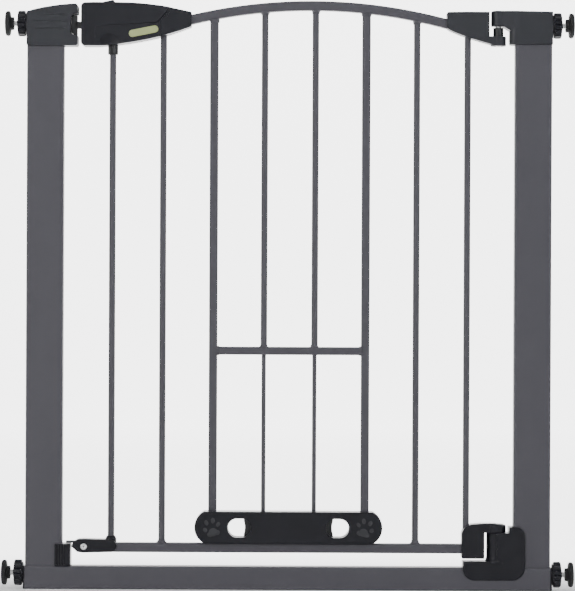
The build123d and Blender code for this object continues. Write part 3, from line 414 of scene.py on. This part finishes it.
# ---------------------------------------------------------------- latch housing
# Two half shells are screwed together over the top of the latch post. Three grip lines
# cross the face, and the open notch takes the head of the latch bolt.
housing_left, housing_right = -362.4, -292.0
housing_depth = 14.0
post_inner, post_half_depth, post_top = 310.7, 10.15, 790.3  # the space left for a post, with clearance

# The housing, upper bracket and upper arm share this black plastic. Its base colour is painted paler and
# bluer than the other black mouldings. That is a painted sheen for the brighter light that falls on these
# upper pieces.
sheen_moulding = Finish("painted_sheen_moulding", Specular_IOR_Level=0.4, IOR=1.49)
sheen_moulding_spark = sheen_moulding.grain(3400.0, 2.0, 0.6)
sheen_moulding_flow = sheen_moulding.grain(30.0, 4.0)
sheen_moulding.shows(
    Base_Color=sheen_moulding.tint(sheen_moulding_flow, (0.0145, 0.0152, 0.0195, 1), (0.021, 0.0218, 0.0275, 1)),
    Roughness=0.3 + 0.14 * sheen_moulding_flow + 0.05 * sheen_moulding_spark,
)
sheen_moulding.relief(sheen_moulding_spark + 0.5 * sheen_moulding_flow, 0.00005, 0.5)


def plate(outline, near, far, rounds=(), segments=6):
    """A block cut to a side view (X, Z), from Y near to Y far. Rounds are (corner number, radius)."""
    shape = bmesh.new()
    face = shape.faces.new([shape.verts.new((x, near, z)) for x, z in outline])
    grown = bmesh.ops.extrude_face_region(shape, geom=[face], use_keep_orig=True)["geom"]
    bmesh.ops.translate(
        shape, vec=(0, far - near, 0), verts=[g for g in grown if isinstance(g, bmesh.types.BMVert)]
    )
    for number, radius in rounds:
        x, z = outline[number]
        edge = [e for e in shape.edges
                if all(math.hypot(v.co.x - x, v.co.z - z) < 0.001 for v in e.verts)]
        bmesh.ops.bevel(shape, geom=edge, offset=radius, segments=segments, affect="EDGES",
                        profile=0.5, material=-1)
    bmesh.ops.recalc_face_normals(shape, faces=shape.faces)
    return shape


def eased(shape, radius, where=None, segments=4, sharper=25.0):
    """Rounds the sharp edges that pass a test on their middle point."""
    edges = [
        e for e in shape.edges
        if len(e.link_faces) == 2 and math.degrees(e.calc_face_angle()) > sharper
        and (where is None or where((e.verts[0].co + e.verts[1].co) / 2))
    ]
    bmesh.ops.bevel(shape, geom=edges, offset=radius, segments=segments, affect="EDGES", profile=0.5,
                    material=-1, clamp_overlap=True)
    bmesh.ops.remove_doubles(shape, verts=shape.verts, dist=0.02)
    return shape


def block(low, high):
    """A box between two corners."""
    shape = bmesh.new()
    bmesh.ops.create_cube(shape, size=1.0)
    bmesh.ops.scale(shape, vec=[abs(b - a) for a, b in zip(low, high)], verts=shape.verts)
    bmesh.ops.translate(shape, vec=(Vector(high) + Vector(low)) / 2, verts=shape.verts)
    return shape


def carved(shape, *tools, operation="DIFFERENCE"):
    """The shape once the tools have been cut out of it, or joined to it."""
    blanks = []
    for number, solid in enumerate((shape,) + tools):
        if solid.calc_volume(signed=True) < 0:
            bmesh.ops.reverse_faces(solid, faces=solid.faces)
        mesh = bpy.data.meshes.new("blank")
        solid.to_mesh(mesh)
        solid.free()
        blanks.append(bpy.data.objects.new("blank", mesh))
        bpy.context.scene.collection.objects.link(blanks[-1])
        if number:
            step = blanks[0].modifiers.new("step", "BOOLEAN")
            step.object, step.operation, step.solver = blanks[-1], operation, "EXACT"
    ready = blanks[0].evaluated_get(bpy.context.evaluated_depsgraph_get())
    result = bmesh.new()
    result.from_mesh(ready.to_mesh())
    ready.to_mesh_clear()
    for blank in blanks:
        bpy.data.meshes.remove(blank.data)
    bmesh.ops.remove_doubles(result, verts=result.verts, dist=0.0005)
    return result


def pulled_apart(profile, reach, at, back=False, tilt=0.0, steps=64):
    """A flat shape with round ends, turned from (radius, depth) points about Y and drawn out along X."""
    shape = bmesh.new()
    line = [shape.verts.new((radius, depth if back else -depth, 0)) for radius, depth in profile]
    edges = [shape.edges.new(pair) for pair in zip(line, line[1:])]
    bmesh.ops.spin(
        shape, geom=line + edges, cent=(0, 0, 0), axis=(0, 1, 0), angle=2 * math.pi,
        steps=steps, use_merge=True,
    )
    for vert in shape.verts:
        if abs(vert.co.x) > 0.001:
            vert.co.x += math.copysign(reach, vert.co.x)
    bmesh.ops.holes_fill(shape, edges=[e for e in shape.edges if e.is_boundary])
    bmesh.ops.recalc_face_normals(shape, faces=shape.faces)
    bmesh.ops.rotate(shape, verts=shape.verts, matrix=Matrix.Rotation(-tilt, 3, "Y"))
    bmesh.ops.translate(shape, verts=shape.verts, vec=(at[0], 0, at[1]))
    return shape


def upright_rod(radius, x, low, high, steps=48):
    """A round bar along Z."""
    shape = bmesh.new()
    bmesh.ops.create_cone(shape, cap_ends=True, segments=steps, radius1=radius, radius2=radius,
                          depth=high - low)
    bmesh.ops.translate(shape, vec=(x, 0, (low + high) / 2), verts=shape.verts)
    return shape


housing_side = [
    (housing_left, 749.0), (housing_right, 749.0), (housing_right, 762.6), (-297.0, 763.0), (-301.8, 767.0),
    (-301.8, 788.6), (-298.5, 792.6), (housing_right, 793.0), (housing_right, 806.8), (-303.0, 806.4),
    (-315.0, 805.3), (-328.0, 803.5), (-341.0, 801.2), (-352.0, 798.7), (housing_left, 795.8)]
for half, sign in (("front", -1), ("back", 1)):
    shell = plate(housing_side, 0, sign * housing_depth, [(0, 2.0), (1, 3.0), (8, 4.0)])
    eased(shell, 0.8, lambda at: abs(at.y) > housing_depth - 0.1 and at.x > -302.5
          and 762 < at.z < 793.2, 2)
    eased(shell, 3.0, lambda at: abs(at.y) > housing_depth - 0.1 and at.x > housing_left + 1.2
          and not (at.x > -302.5 and 761.5 < at.z < 793.8))
    cuts = [block((-370, sign * post_half_depth, 740), (-post_inner, -sign, post_top)),
            block((-301.8, sign * 7.2, 780), (-280, -sign, 802.5))]
    if half == "front":
        for height, left in ((791.5, -337.0), (782.0, -354.0), (772.5, -350.0)):
            groove = block((left, -15, height - 0.7), (-309, -housing_depth + 0.6, height + 0.7))
            cuts.append(eased(groove, 0.3, segments=2))
    shell = carved(shell, *cuts)
    finished(shell, f"housing_{half}", "frame", sheen_moulding, [f"latch_housing_{half}"])
dark_zinc = Finish("dark_zinc", Metallic=1.0)
screw_marks = dark_zinc.grain(700.0, 3.0)
dark_zinc.shows(
    Base_Color=dark_zinc.tint(screw_marks, (0.16, 0.16, 0.165, 1), (0.27, 0.27, 0.275, 1)),
    Roughness=0.3 + 0.2 * screw_marks,
)
paint(["latch_housing_screws", "hinge_bracket_screws", "handle_screws", "pet_door_screws"], dark_zinc)

# ---------------------------------------------------------------- upper hinge
# The bracket is a thick moulding that caps the hinge post; its round nose holds a steel pin. The arm
# grips the end of the arch, and its lug slides up the sleeve on the pin when the gate is lifted.
hinge_x = 288.0
acetal = Finish("black_acetal", Specular_IOR_Level=0.5)
acetal_haze = acetal.grain(90.0, 4.0)
acetal.shows(
    Base_Color=acetal.tint(acetal_haze, (0.003, 0.003, 0.0036, 1), (0.005, 0.005, 0.006, 1)),
    Roughness=0.28 + 0.14 * acetal_haze,
)
acetal.relief(acetal_haze, 0.00004, 0.3)

cap = plate([(303.0, 753.0), (362.4, 753.0), (362.4, 776.0), (303.0, 776.0)], -13, 13)
eased(cap, 8.5, lambda at: at.x < 303.1 and abs(at.y) > 12 and 754 < at.z < 775, 8)
eased(cap, 1.8, lambda at: at.z < 753.1 and at.x < 362, 3)
nose = plate([
    (hinge_x, 778.6), (294.0, 778.4), (303.5, 772.6), (311.0, 772.6), (318.0, 772.6), (362.4, 772.6),
    (362.4, 798.8), (318.0, 799.6), (311.0, 799.8), (303.0, 799.9), (296.0, 800.0), (hinge_x, 800.0)],
    -13, 13)
for x in (298.0, 301.0, 303.0, 306.0, 308.5, 311.0, 314.5, 318.0):
    whole = list(nose.verts) + list(nose.edges) + list(nose.faces)
    bmesh.ops.bisect_plane(nose, geom=whole, plane_co=(x, 0, 0), plane_no=(1, 0, 0), dist=0.01)
for vert in nose.verts:
    along = max(0.0, min(1.0, (318.0 - vert.co.x) / 26.0))
    vert.co.y *= 1 - 0.33 * along ** 1.5
eased(nose, 2.4, lambda at: at.z > 798 and abs(at.y) > 8, 4)
barrel = turned([
    (0, 778.7), (9.2, 778.7), (10.0, 779.5), (10.0, 798.2), (9.4, 799.4), (8.2, 800.0), (0, 800.0)], 72)
bmesh.ops.translate(barrel, vec=(hinge_x, 0, 0), verts=barrel.verts)
bracket = carved(cap, nose, barrel, operation="UNION")
bracket = carved(bracket, block((post_inner, -post_half_depth, 745), (370, post_half_depth, post_top)))
finished(bracket, "upper_bracket", "frame", sheen_moulding, ["upper_hinge_bracket"])

arm = plate([
    (216.5, 775.6), (221.6, 772.4), (235.4, 766.6), (249.3, 761.9), (263.1, 757.7), (274.2, 754.6),
    (hinge_x, 751.5), (hinge_x, 764.6), (275.2, 764.6), (275.2, 798.3), (246.0, 798.3), (216.5, 797.8)],
    -10, 10, [(0, 2.0), (11, 2.5)])
eased(arm, 1.8, lambda at: abs(at.y) > 9.9 and at.x < 276, 4)
lug = turned([(0, 751.5), (9.9, 751.5), (10.7, 752.3), (10.7, 763.8), (9.9, 764.6), (0, 764.6)], 72)
bmesh.ops.translate(lug, vec=(hinge_x, 0, 0), verts=lug.verts)
arm = carved(arm, lug, operation="UNION")
arm = carved(arm, upright_rod(7.05, hinge_x, 745, 770, 64))
finished(arm, "upper_arm", "gate", sheen_moulding, ["upper_hinge_arm"])
paint(["upper_pivot_sleeve", "lower_pivot_bush"], acetal)
paint(["upper_hinge_pin"], zinc)

# ---------------------------------------------------------------- lower hinge
# A heavy moulding straddles the threshold and the foot of the hinge post. The gate's own moulding
# hangs over its round column, and its spigot turns the bush inside.
base = plate([
    (241.5, 41.0), (241.5, 14.5), (327.5, 14.5), (327.5, 88.5), (305.0, 88.5), (305.0, 80.0),
    (hinge_x, 80.0), (hinge_x, 41.0)], -14.6, 14.6, [(1, 16.0), (2, 19.0), (3, 13.0)], 10)
eased(base, 2.6, lambda at: abs(at.y) > 14.5 and not (at.x < 306 and at.z > 41.5), 4)
column = turned([
    (0, 38.0), (16.4, 38.0), (16.4, 40.6), (14.6, 42.6), (13.8, 45.0), (13.5, 48.0), (13.4, 79.2),
    (12.6, 80.0), (0, 80.0)], 96)
bmesh.ops.translate(column, vec=(hinge_x, 0, 0), verts=column.verts)
base = carved(base, column, operation="UNION")
base = carved(base, block((236, -12.1, -1), (340, 12.1, 32.1)), block((310.8, -10.1, 31), (340, 10.1, 95)),
              upright_rod(8.0, hinge_x, 58, 95, 64))
finished(base, "lower_base", "frame", moulding, ["lower_hinge_base"])

hanger = plate([
    (239.8, 44.4), (271.1, 44.4), (271.1, 92.9), (263.0, 92.5), (254.0, 91.7), (249.0, 90.8),
    (239.8, 83.0)], -11, 11, [(0, 2.5), (6, 5.0), (5, 5.0)])
eased(hanger, 2.0, lambda at: abs(at.y) > 10.9 and at.x < 271, 4)
saddle = plate([
    (266.0, 80.3), (hinge_x, 80.3), (hinge_x, 92.7), (280.0, 93.0), (271.0, 92.9), (266.0, 92.6)], -9.9, 9.9)
eased(saddle, 1.6, lambda at: abs(at.y) > 9.8 and at.z > 90, 3)
disc = turned([
    (0, 80.3), (13.0, 80.3), (13.4, 80.7), (13.4, 88.4), (12.9, 90.2), (11.4, 91.3), (7.0, 92.3),
    (0, 92.8)], 72)
bmesh.ops.translate(disc, vec=(hinge_x, 0, 0), verts=disc.verts)
hanger = carved(hanger, saddle, disc, upright_rod(4.9, hinge_x, 60, 82), operation="UNION")
finished(hanger, "lower_arm", "gate", moulding, ["lower_hinge_arm"])

# ---------------------------------------------------------------- bottom catch and receiver
# A moulding is riveted over the free end of the bottom rail. Its tongue rides over a ribbed receiver
# that grips the inner edge of the latch post.
catch = plate([
    (-298.0, 58.5), (-297.2, 62.0), (-294.0, 66.3), (-289.0, 68.9), (-282.0, 69.4), (-243.0, 68.4),
    (-238.0, 66.0), (-235.5, 60.0), (-237.5, 54.0), (-242.0, 51.2), (-282.0, 50.2), (-290.0, 51.2)],
    -10, 10)
eased(catch, 2.2, lambda at: abs(at.y) > 9.9, 4)
foot = turned([
    (4.55, 63.0), (7.6, 63.0), (7.6, 69.4), (6.6, 71.4), (5.4, 73.4), (4.55, 73.4), (4.55, 63.0)], 48)
bmesh.ops.translate(foot, vec=(latch_stile_x, 0, 0), verts=foot.verts)
tongue = eased(block((-306.0, -4.8, 63.4), (-291.0, 4.8, 66.2)), 0.5, segments=2)
catch = gather([catch, foot, tongue])
finished(catch, "catch", "gate", moulding, ["bottom_catch"])

aluminium = Finish("rolled_aluminium", Metallic=1.0)
rolled = aluminium.grain(1500.0, 3.0)
aluminium.shows(
    Base_Color=aluminium.tint(rolled, (0.8, 0.8, 0.81, 1), (0.92, 0.92, 0.92, 1)),
    Roughness=0.22 + 0.18 * rolled,
)
heads = []
for sign in (-1, 1):
    head = turned([
        (0.8, 8.6), (4.6, 8.6), (4.6, 9.9), (4.2, 10.7), (3.3, 11.2), (2.5, 11.15), (2.2, 10.7),
        (1.5, 10.6), (1.0, 10.4), (0.8, 9.9), (0.8, 8.6)], 48)
    bmesh.ops.rotate(head, verts=head.verts, matrix=Matrix.Rotation(math.radians(-90 * sign), 3, "X"))
    bmesh.ops.translate(head, vec=(-281.0, 0, 58.6), verts=head.verts)
    heads.append(head)
finished(gather(heads), "rivet", "gate", aluminium, ["bottom_catch_rivet"], 60)

receiver = plate([(-320.7, 32.0), (-299.2, 32.0), (-299.2, 62.6), (-320.7, 62.6)], -13, 13)
eased(receiver, 3.4, lambda at: at.x > -299.3 and 33 < at.z < 62, 5)
eased(receiver, 0.9, lambda at: at.z > 62.5, 3)
ribs = [block((-319.4 + 3.7 * n, -14, 34.0), (-317.6 + 3.7 * n, -11.6, 61.0)) for n in range(4)]
receiver = carved(receiver, block((-325, -10.1, 30), (-310.9, 10.1, 70)), *ribs)
finished(receiver, "receiver", "frame", moulding, ["bottom_catch_receiver"])

# ---------------------------------------------------------------- handle
# Two half shells clasp the latch end of the arch and a collar closes their tail. A scoop for the
# fingers is hollowed over the stile, and a pill of pale glow plastic is let into the front.
handle_depth = 15.0
top_line = [(-164.5, 802.2), (-179.4, 804.8), (-193.2, 806.4), (-207.0, 807.7), (-220.8, 808.5),
            (-244.3, 808.9), (-268.0, 808.8), (-287.5, 808.3)]
bottom_line = [(-287.5, 749.0), (-262.0, 749.0), (-248.0, 750.0), (-234.5, 751.6), (-220.7, 753.6),
               (-206.9, 756.0), (-193.0, 758.8), (-177.8, 762.4)]
handle_side = bottom_line + [(-179.2, 783.2)] + top_line
handle_screws = ((-276, 757), (-270, 800.5), (-192, 795))
glow_middle, glow_tilt, glow_reach = (-201.3, 768.8), math.radians(11.4), 15.6

for half, sign in (("front", -1), ("back", 1)):
    cover = plate(handle_side, 0, sign * handle_depth, [(0, 5.2), (16, 5.6)])
    eased(cover, 3.8, lambda at: abs(at.y) > handle_depth - 0.1 and at.x < -181, 5)
    scoop = bmesh.new()
    bmesh.ops.create_uvsphere(scoop, u_segments=64, v_segments=32, radius=1.0)
    bmesh.ops.scale(scoop, vec=(19.5, 8.0, 19.5), verts=scoop.verts)
    bmesh.ops.translate(scoop, vec=(-247.0, sign * 19.2, 750.5), verts=scoop.verts)
    hollow = plate([
        (-290.0, 763.0), (-286.0, 763.0), (-284.6, 753.0), (-262.0, 751.4), (-234.5, 754.1),
        (-206.9, 758.5), (-170.0, 766.5), (-170.0, 800.0), (-193.2, 803.8), (-220.8, 806.0),
        (-262.0, 806.0), (-284.6, 804.0), (-286.0, 792.4), (-290.0, 792.4)], -sign, sign * 6.7)
    cuts = [scoop, hollow, block((-259.5, -4.3, 800), (-229.5, 4.3, 815))]
    if half == "front":
        lower_panel = plate([
            (-268.0, 775.6), (-250.0, 777.0), (-216.0, 778.8), (-182.0, 781.2), (-170.0, 796.0),
            (-150.0, 796.0), (-150.0, 740.0), (-268.0, 740.0)], -20.0, -13.8)
        for vert in lower_panel.verts:
            if vert.co.y < -15 and vert.co.z > 760:
                vert.co.z += 4.0
            vert.co.y -= max(0.0, -205.0 - vert.co.x) * 0.0155
        recess = pulled_apart([(5.25, 13.2), (5.25, 20.0)], glow_reach, glow_middle, tilt=glow_tilt)
        cuts += [lower_panel, recess]
    else:
        cuts += [pulled_apart([(3.4, 12.7), (3.4, 20.0)], 0.0, at, back=True, steps=32)
                 for at in handle_screws]
    cover = carved(cover, *cuts)
    finished(cover, f"handle_{half}", "gate", moulding, [f"handle_{half}_cover"])

collar = plate([
    (-178.9, 783.1), (-177.5, 762.6), (-165.4, 765.9), (-151.5, 770.3), (-135.5, 776.3),
    (-135.5, 796.2), (-151.7, 799.5), (-164.2, 802.0)], -handle_depth, handle_depth, [(4, 1.5), (5, 1.5)])
for vert in collar.verts:
    vert.co.y *= 1 - 0.3 * (vert.co.x + 178.6) / 43.0
eased(collar, 3.6, lambda at: abs(at.y) > 9.9 and at.x > -176 and (at.z > 797.4 or at.z < 775), 4)
ticks = [pulled_apart([(0.42, 11.0), (0.42, depth)], 3.4, at, tilt=math.radians(62), steps=12)
         for at, depth in (((-170.9, 790.7), 14.7), ((-168.0, 792.2), 14.4))]
finished(gather([collar] + ticks), "tail_collar", "gate", moulding, ["handle_tail_collar"])

socket = fluted(7.0, 12, 0.09, [
    (737.6, 0.72), (737.6, 0.92), (738.4, 1.0), (752.0, 1.0), (752.0, 0.72), (737.6, 0.72)])
bmesh.ops.translate(socket, vec=(latch_stile_x, 0, 0), verts=socket.verts)
finished(socket, "socket", "gate", acetal, ["stile_socket"])

glow = Finish("glow_plastic", Specular_IOR_Level=0.5, Subsurface_Weight=0.25, Subsurface_Scale=0.002)
glow.shader.inputs["Subsurface Radius"].default_value = (1.0, 1.0, 0.5)
crystals = glow.grain(1400.0, 2.0)
glow_cloud = glow.grain(110.0, 3.0)
glow.shows(
    Base_Color=glow.tint(glow_cloud, (0.37, 0.43, 0.17, 1), (0.46, 0.51, 0.23, 1)),
    Roughness=0.3 + 0.15 * crystals,
)
glow.relief(crystals, 0.00004, 0.3)
inlay = pulled_apart(
    [(5.0, 13.3), (5.0, 14.7), (4.75, 15.2), (4.2, 15.5)], glow_reach, glow_middle, tilt=glow_tilt)
finished(inlay, "glow_inlay", "gate", glow, ["glow_strip"])

# ---------------------------------------------------------------- sliding latch
# The thumb button on top of the handle draws back the bolt, whose tall head stands in the notch of
# the housing. A coil spring inside the handle pushes both out again.
button = plate([
    (-258.5, 809.2), (-242.2, 809.2), (-242.6, 812.3), (-244.6, 812.8), (-256.6, 810.2)], -6.5, 6.5)
eased(button, 0.6, segments=3)
grip_lines = [block((-255.2 + 2.7 * n, -5.2, 810.55 + 0.58 * n), (-254.2 + 2.7 * n, 5.2, 813))
              for n in range(4)]
button = carved(button, *grip_lines)
stem = block((-255.0, -3.8, 792.0), (-245.0, 3.8, 810.0))
finished(gather([button, stem]), "button", "latch", moulding, ["thumb_button"])

bolt_half_depth = 4.5
bolt_head = plate([
    (-293.0, 763.4), (-297.3, 763.6), (-301.4, 767.4), (-301.4, 788.4), (-298.3, 791.3), (-293.0, 791.3)],
    -bolt_half_depth, bolt_half_depth)
eased(bolt_head, 0.6, segments=3)
neck = eased(block((-296.0, -bolt_half_depth, 773.3), (-268.0, bolt_half_depth, 782.7)), 0.6, segments=2)
finger = block((-274.0, -bolt_half_depth, 781.0), (-234.0, bolt_half_depth, 793.5))
finished(gather([bolt_head, neck, finger]), "bolt", "latch", acetal, ["latch_bolt"])
spring_steel = Finish("spring_wire", Metallic=1.0)
wire_lines = spring_steel.grain(1200.0, 2.0)
spring_steel.shows(
    Base_Color=spring_steel.tint(wire_lines, (0.42, 0.42, 0.44, 1), (0.55, 0.55, 0.56, 1)),
    Roughness=0.25 + 0.15 * wire_lines,
)
paint(["latch_spring", "squeeze_spring_left", "squeeze_spring_right"], spring_steel)

# ---------------------------------------------------------------- pet door
# Two half shells slide on the square uprights and carry two rods that run up inside the guide
# tubes. Each finger hole shows the hollowed edge of a squeeze plate, and a paw is raised at each end.
shoe_low, shoe_high = 64.4, 107.9
shoe_z = (shoe_low + shoe_high) / 2
shoe_depth = 13.5
finger_z = 85.45
shoe_screws = ((-119, 86), (-15, 97), (17, 97), (121, 86))
quarter = [math.radians(a) for a in (0, 22, 45, 68, 90)]
for half, sign in (("front", -1), ("back", 1)):
    back = half == "back"
    rounded_end = [(22.7 + 1.8 * math.cos(a), 11.7 + 1.8 * math.sin(a)) for a in quarter]
    shoe = pulled_apart([(24.5, 0.0)] + rounded_end, 105.0, (bay_middle, shoe_z), back, steps=96)
    for height, up in ((shoe_low, -1), (shoe_high, 1)):
        whole = list(shoe.verts) + list(shoe.edges) + list(shoe.faces)
        cut = bmesh.ops.bisect_plane(
            shoe, geom=whole, plane_co=(0, 0, height), plane_no=(0, 0, up), clear_outer=True
        )["geom_cut"]
        bmesh.ops.edgeloop_fill(shoe, edges=[g for g in cut if isinstance(g, bmesh.types.BMEdge)])
    bmesh.ops.recalc_face_normals(shoe, faces=shoe.faces)
    eased(shoe, 1.8, lambda at: abs(at.y) > shoe_depth - 0.1 and (abs(at.z - shoe_z) > 21.7), 4, 60)
    flare = [(14.2 - 1.2 * math.cos(math.radians(a)), 12.3 + 1.2 * math.sin(math.radians(a)))
             for a in (0, 25, 50, 75)]
    hole = [(13.0, -2.0)] + flare + [(15.4, 15.0)]
    cuts = [pulled_apart(hole, 3.0, (bay_middle + end * 67.5, finger_z), back) for end in (-1, 1)]
    cuts += [block((bar_places[n] - 6.05, -6.05, 60), (bar_places[n] + 6.05, 6.05, 112)) for n in (2, 5)]
    cuts += [block((bay_middle + end * 43, -2.9, finger_z - 16.5),
                   (bay_middle + end * 103, 2.9, finger_z + 16.5)) for end in (-1, 1)]
    cuts += [block((spring, -2.9, 74.4), (spring + 30, 2.9, 80.5)) for spring in (-46.0, 18.0)]
    cuts += [upright_rod(3.02, bar_places[n], 88, 112, 32) for n in (3, 4)]
    if back:
        cuts += [pulled_apart([(3.4, 11.2), (3.4, 20.0)], 0.0, at, back=True, steps=32)
                 for at in shoe_screws]
    shoe = carved(shoe, *cuts)
    finished(shoe, f"pet_door_{half}", "pet_door", moulding, [f"pet_door_{half}_cover"])

paw_plastic = Finish("satin_moulding", Specular_IOR_Level=0.5)
paw_grain = paw_plastic.grain(1800.0, 2.0)
paw_plastic.shows(
    Base_Color=paw_plastic.tint(paw_grain, (0.016, 0.0165, 0.02, 1), (0.024, 0.0245, 0.03, 1)),
    Roughness=0.5 + 0.15 * paw_grain,
)
paw_plastic.relief(paw_grain, 0.00006, 0.6)
# each pad of a paw: across, height, half width, half length, turn
paw = ((-7.9, 92.6, 2.8, 3.9, 20), (1.0, 95.6, 2.9, 4.0, -5), (8.3, 90.5, 2.6, 3.6, -35),
       (-9.7, 82.8, 2.8, 3.3, 50), (1.4, 79.8, 6.2, 5.8, 15), (6.8, 79.2, 4.2, 3.6, 20),
       (-2.6, 76.6, 4.2, 3.6, 10))
pads = []
for x, side in ((bar_places[2], 1), (bar_places[5], -1)):
    for dx, z, wide, tall, turn in paw:
        dab = bmesh.new()
        bmesh.ops.create_uvsphere(dab, u_segments=32, v_segments=16, radius=1.0)
        bmesh.ops.scale(dab, vec=(wide, 0.7, tall), verts=dab.verts)
        bmesh.ops.rotate(dab, verts=dab.verts, matrix=Matrix.Rotation(math.radians(-turn * side), 3, "Y"))
        bmesh.ops.translate(dab, vec=(x + side * dx, -13.4, z), verts=dab.verts)
        pads.append(dab)
finished(gather(pads), "paw_reliefs", "pet_door", paw_plastic)

# ---------------------------------------------------------------- squeeze plates
# Inside each end of the pet door slides a flat acetal plate. Its hollowed edge stands in the finger
# hole, and the pin on its far end locks the pet door to the square upright until it is squeezed.
paint(["squeeze_slider_left", "squeeze_slider_right"], acetal)
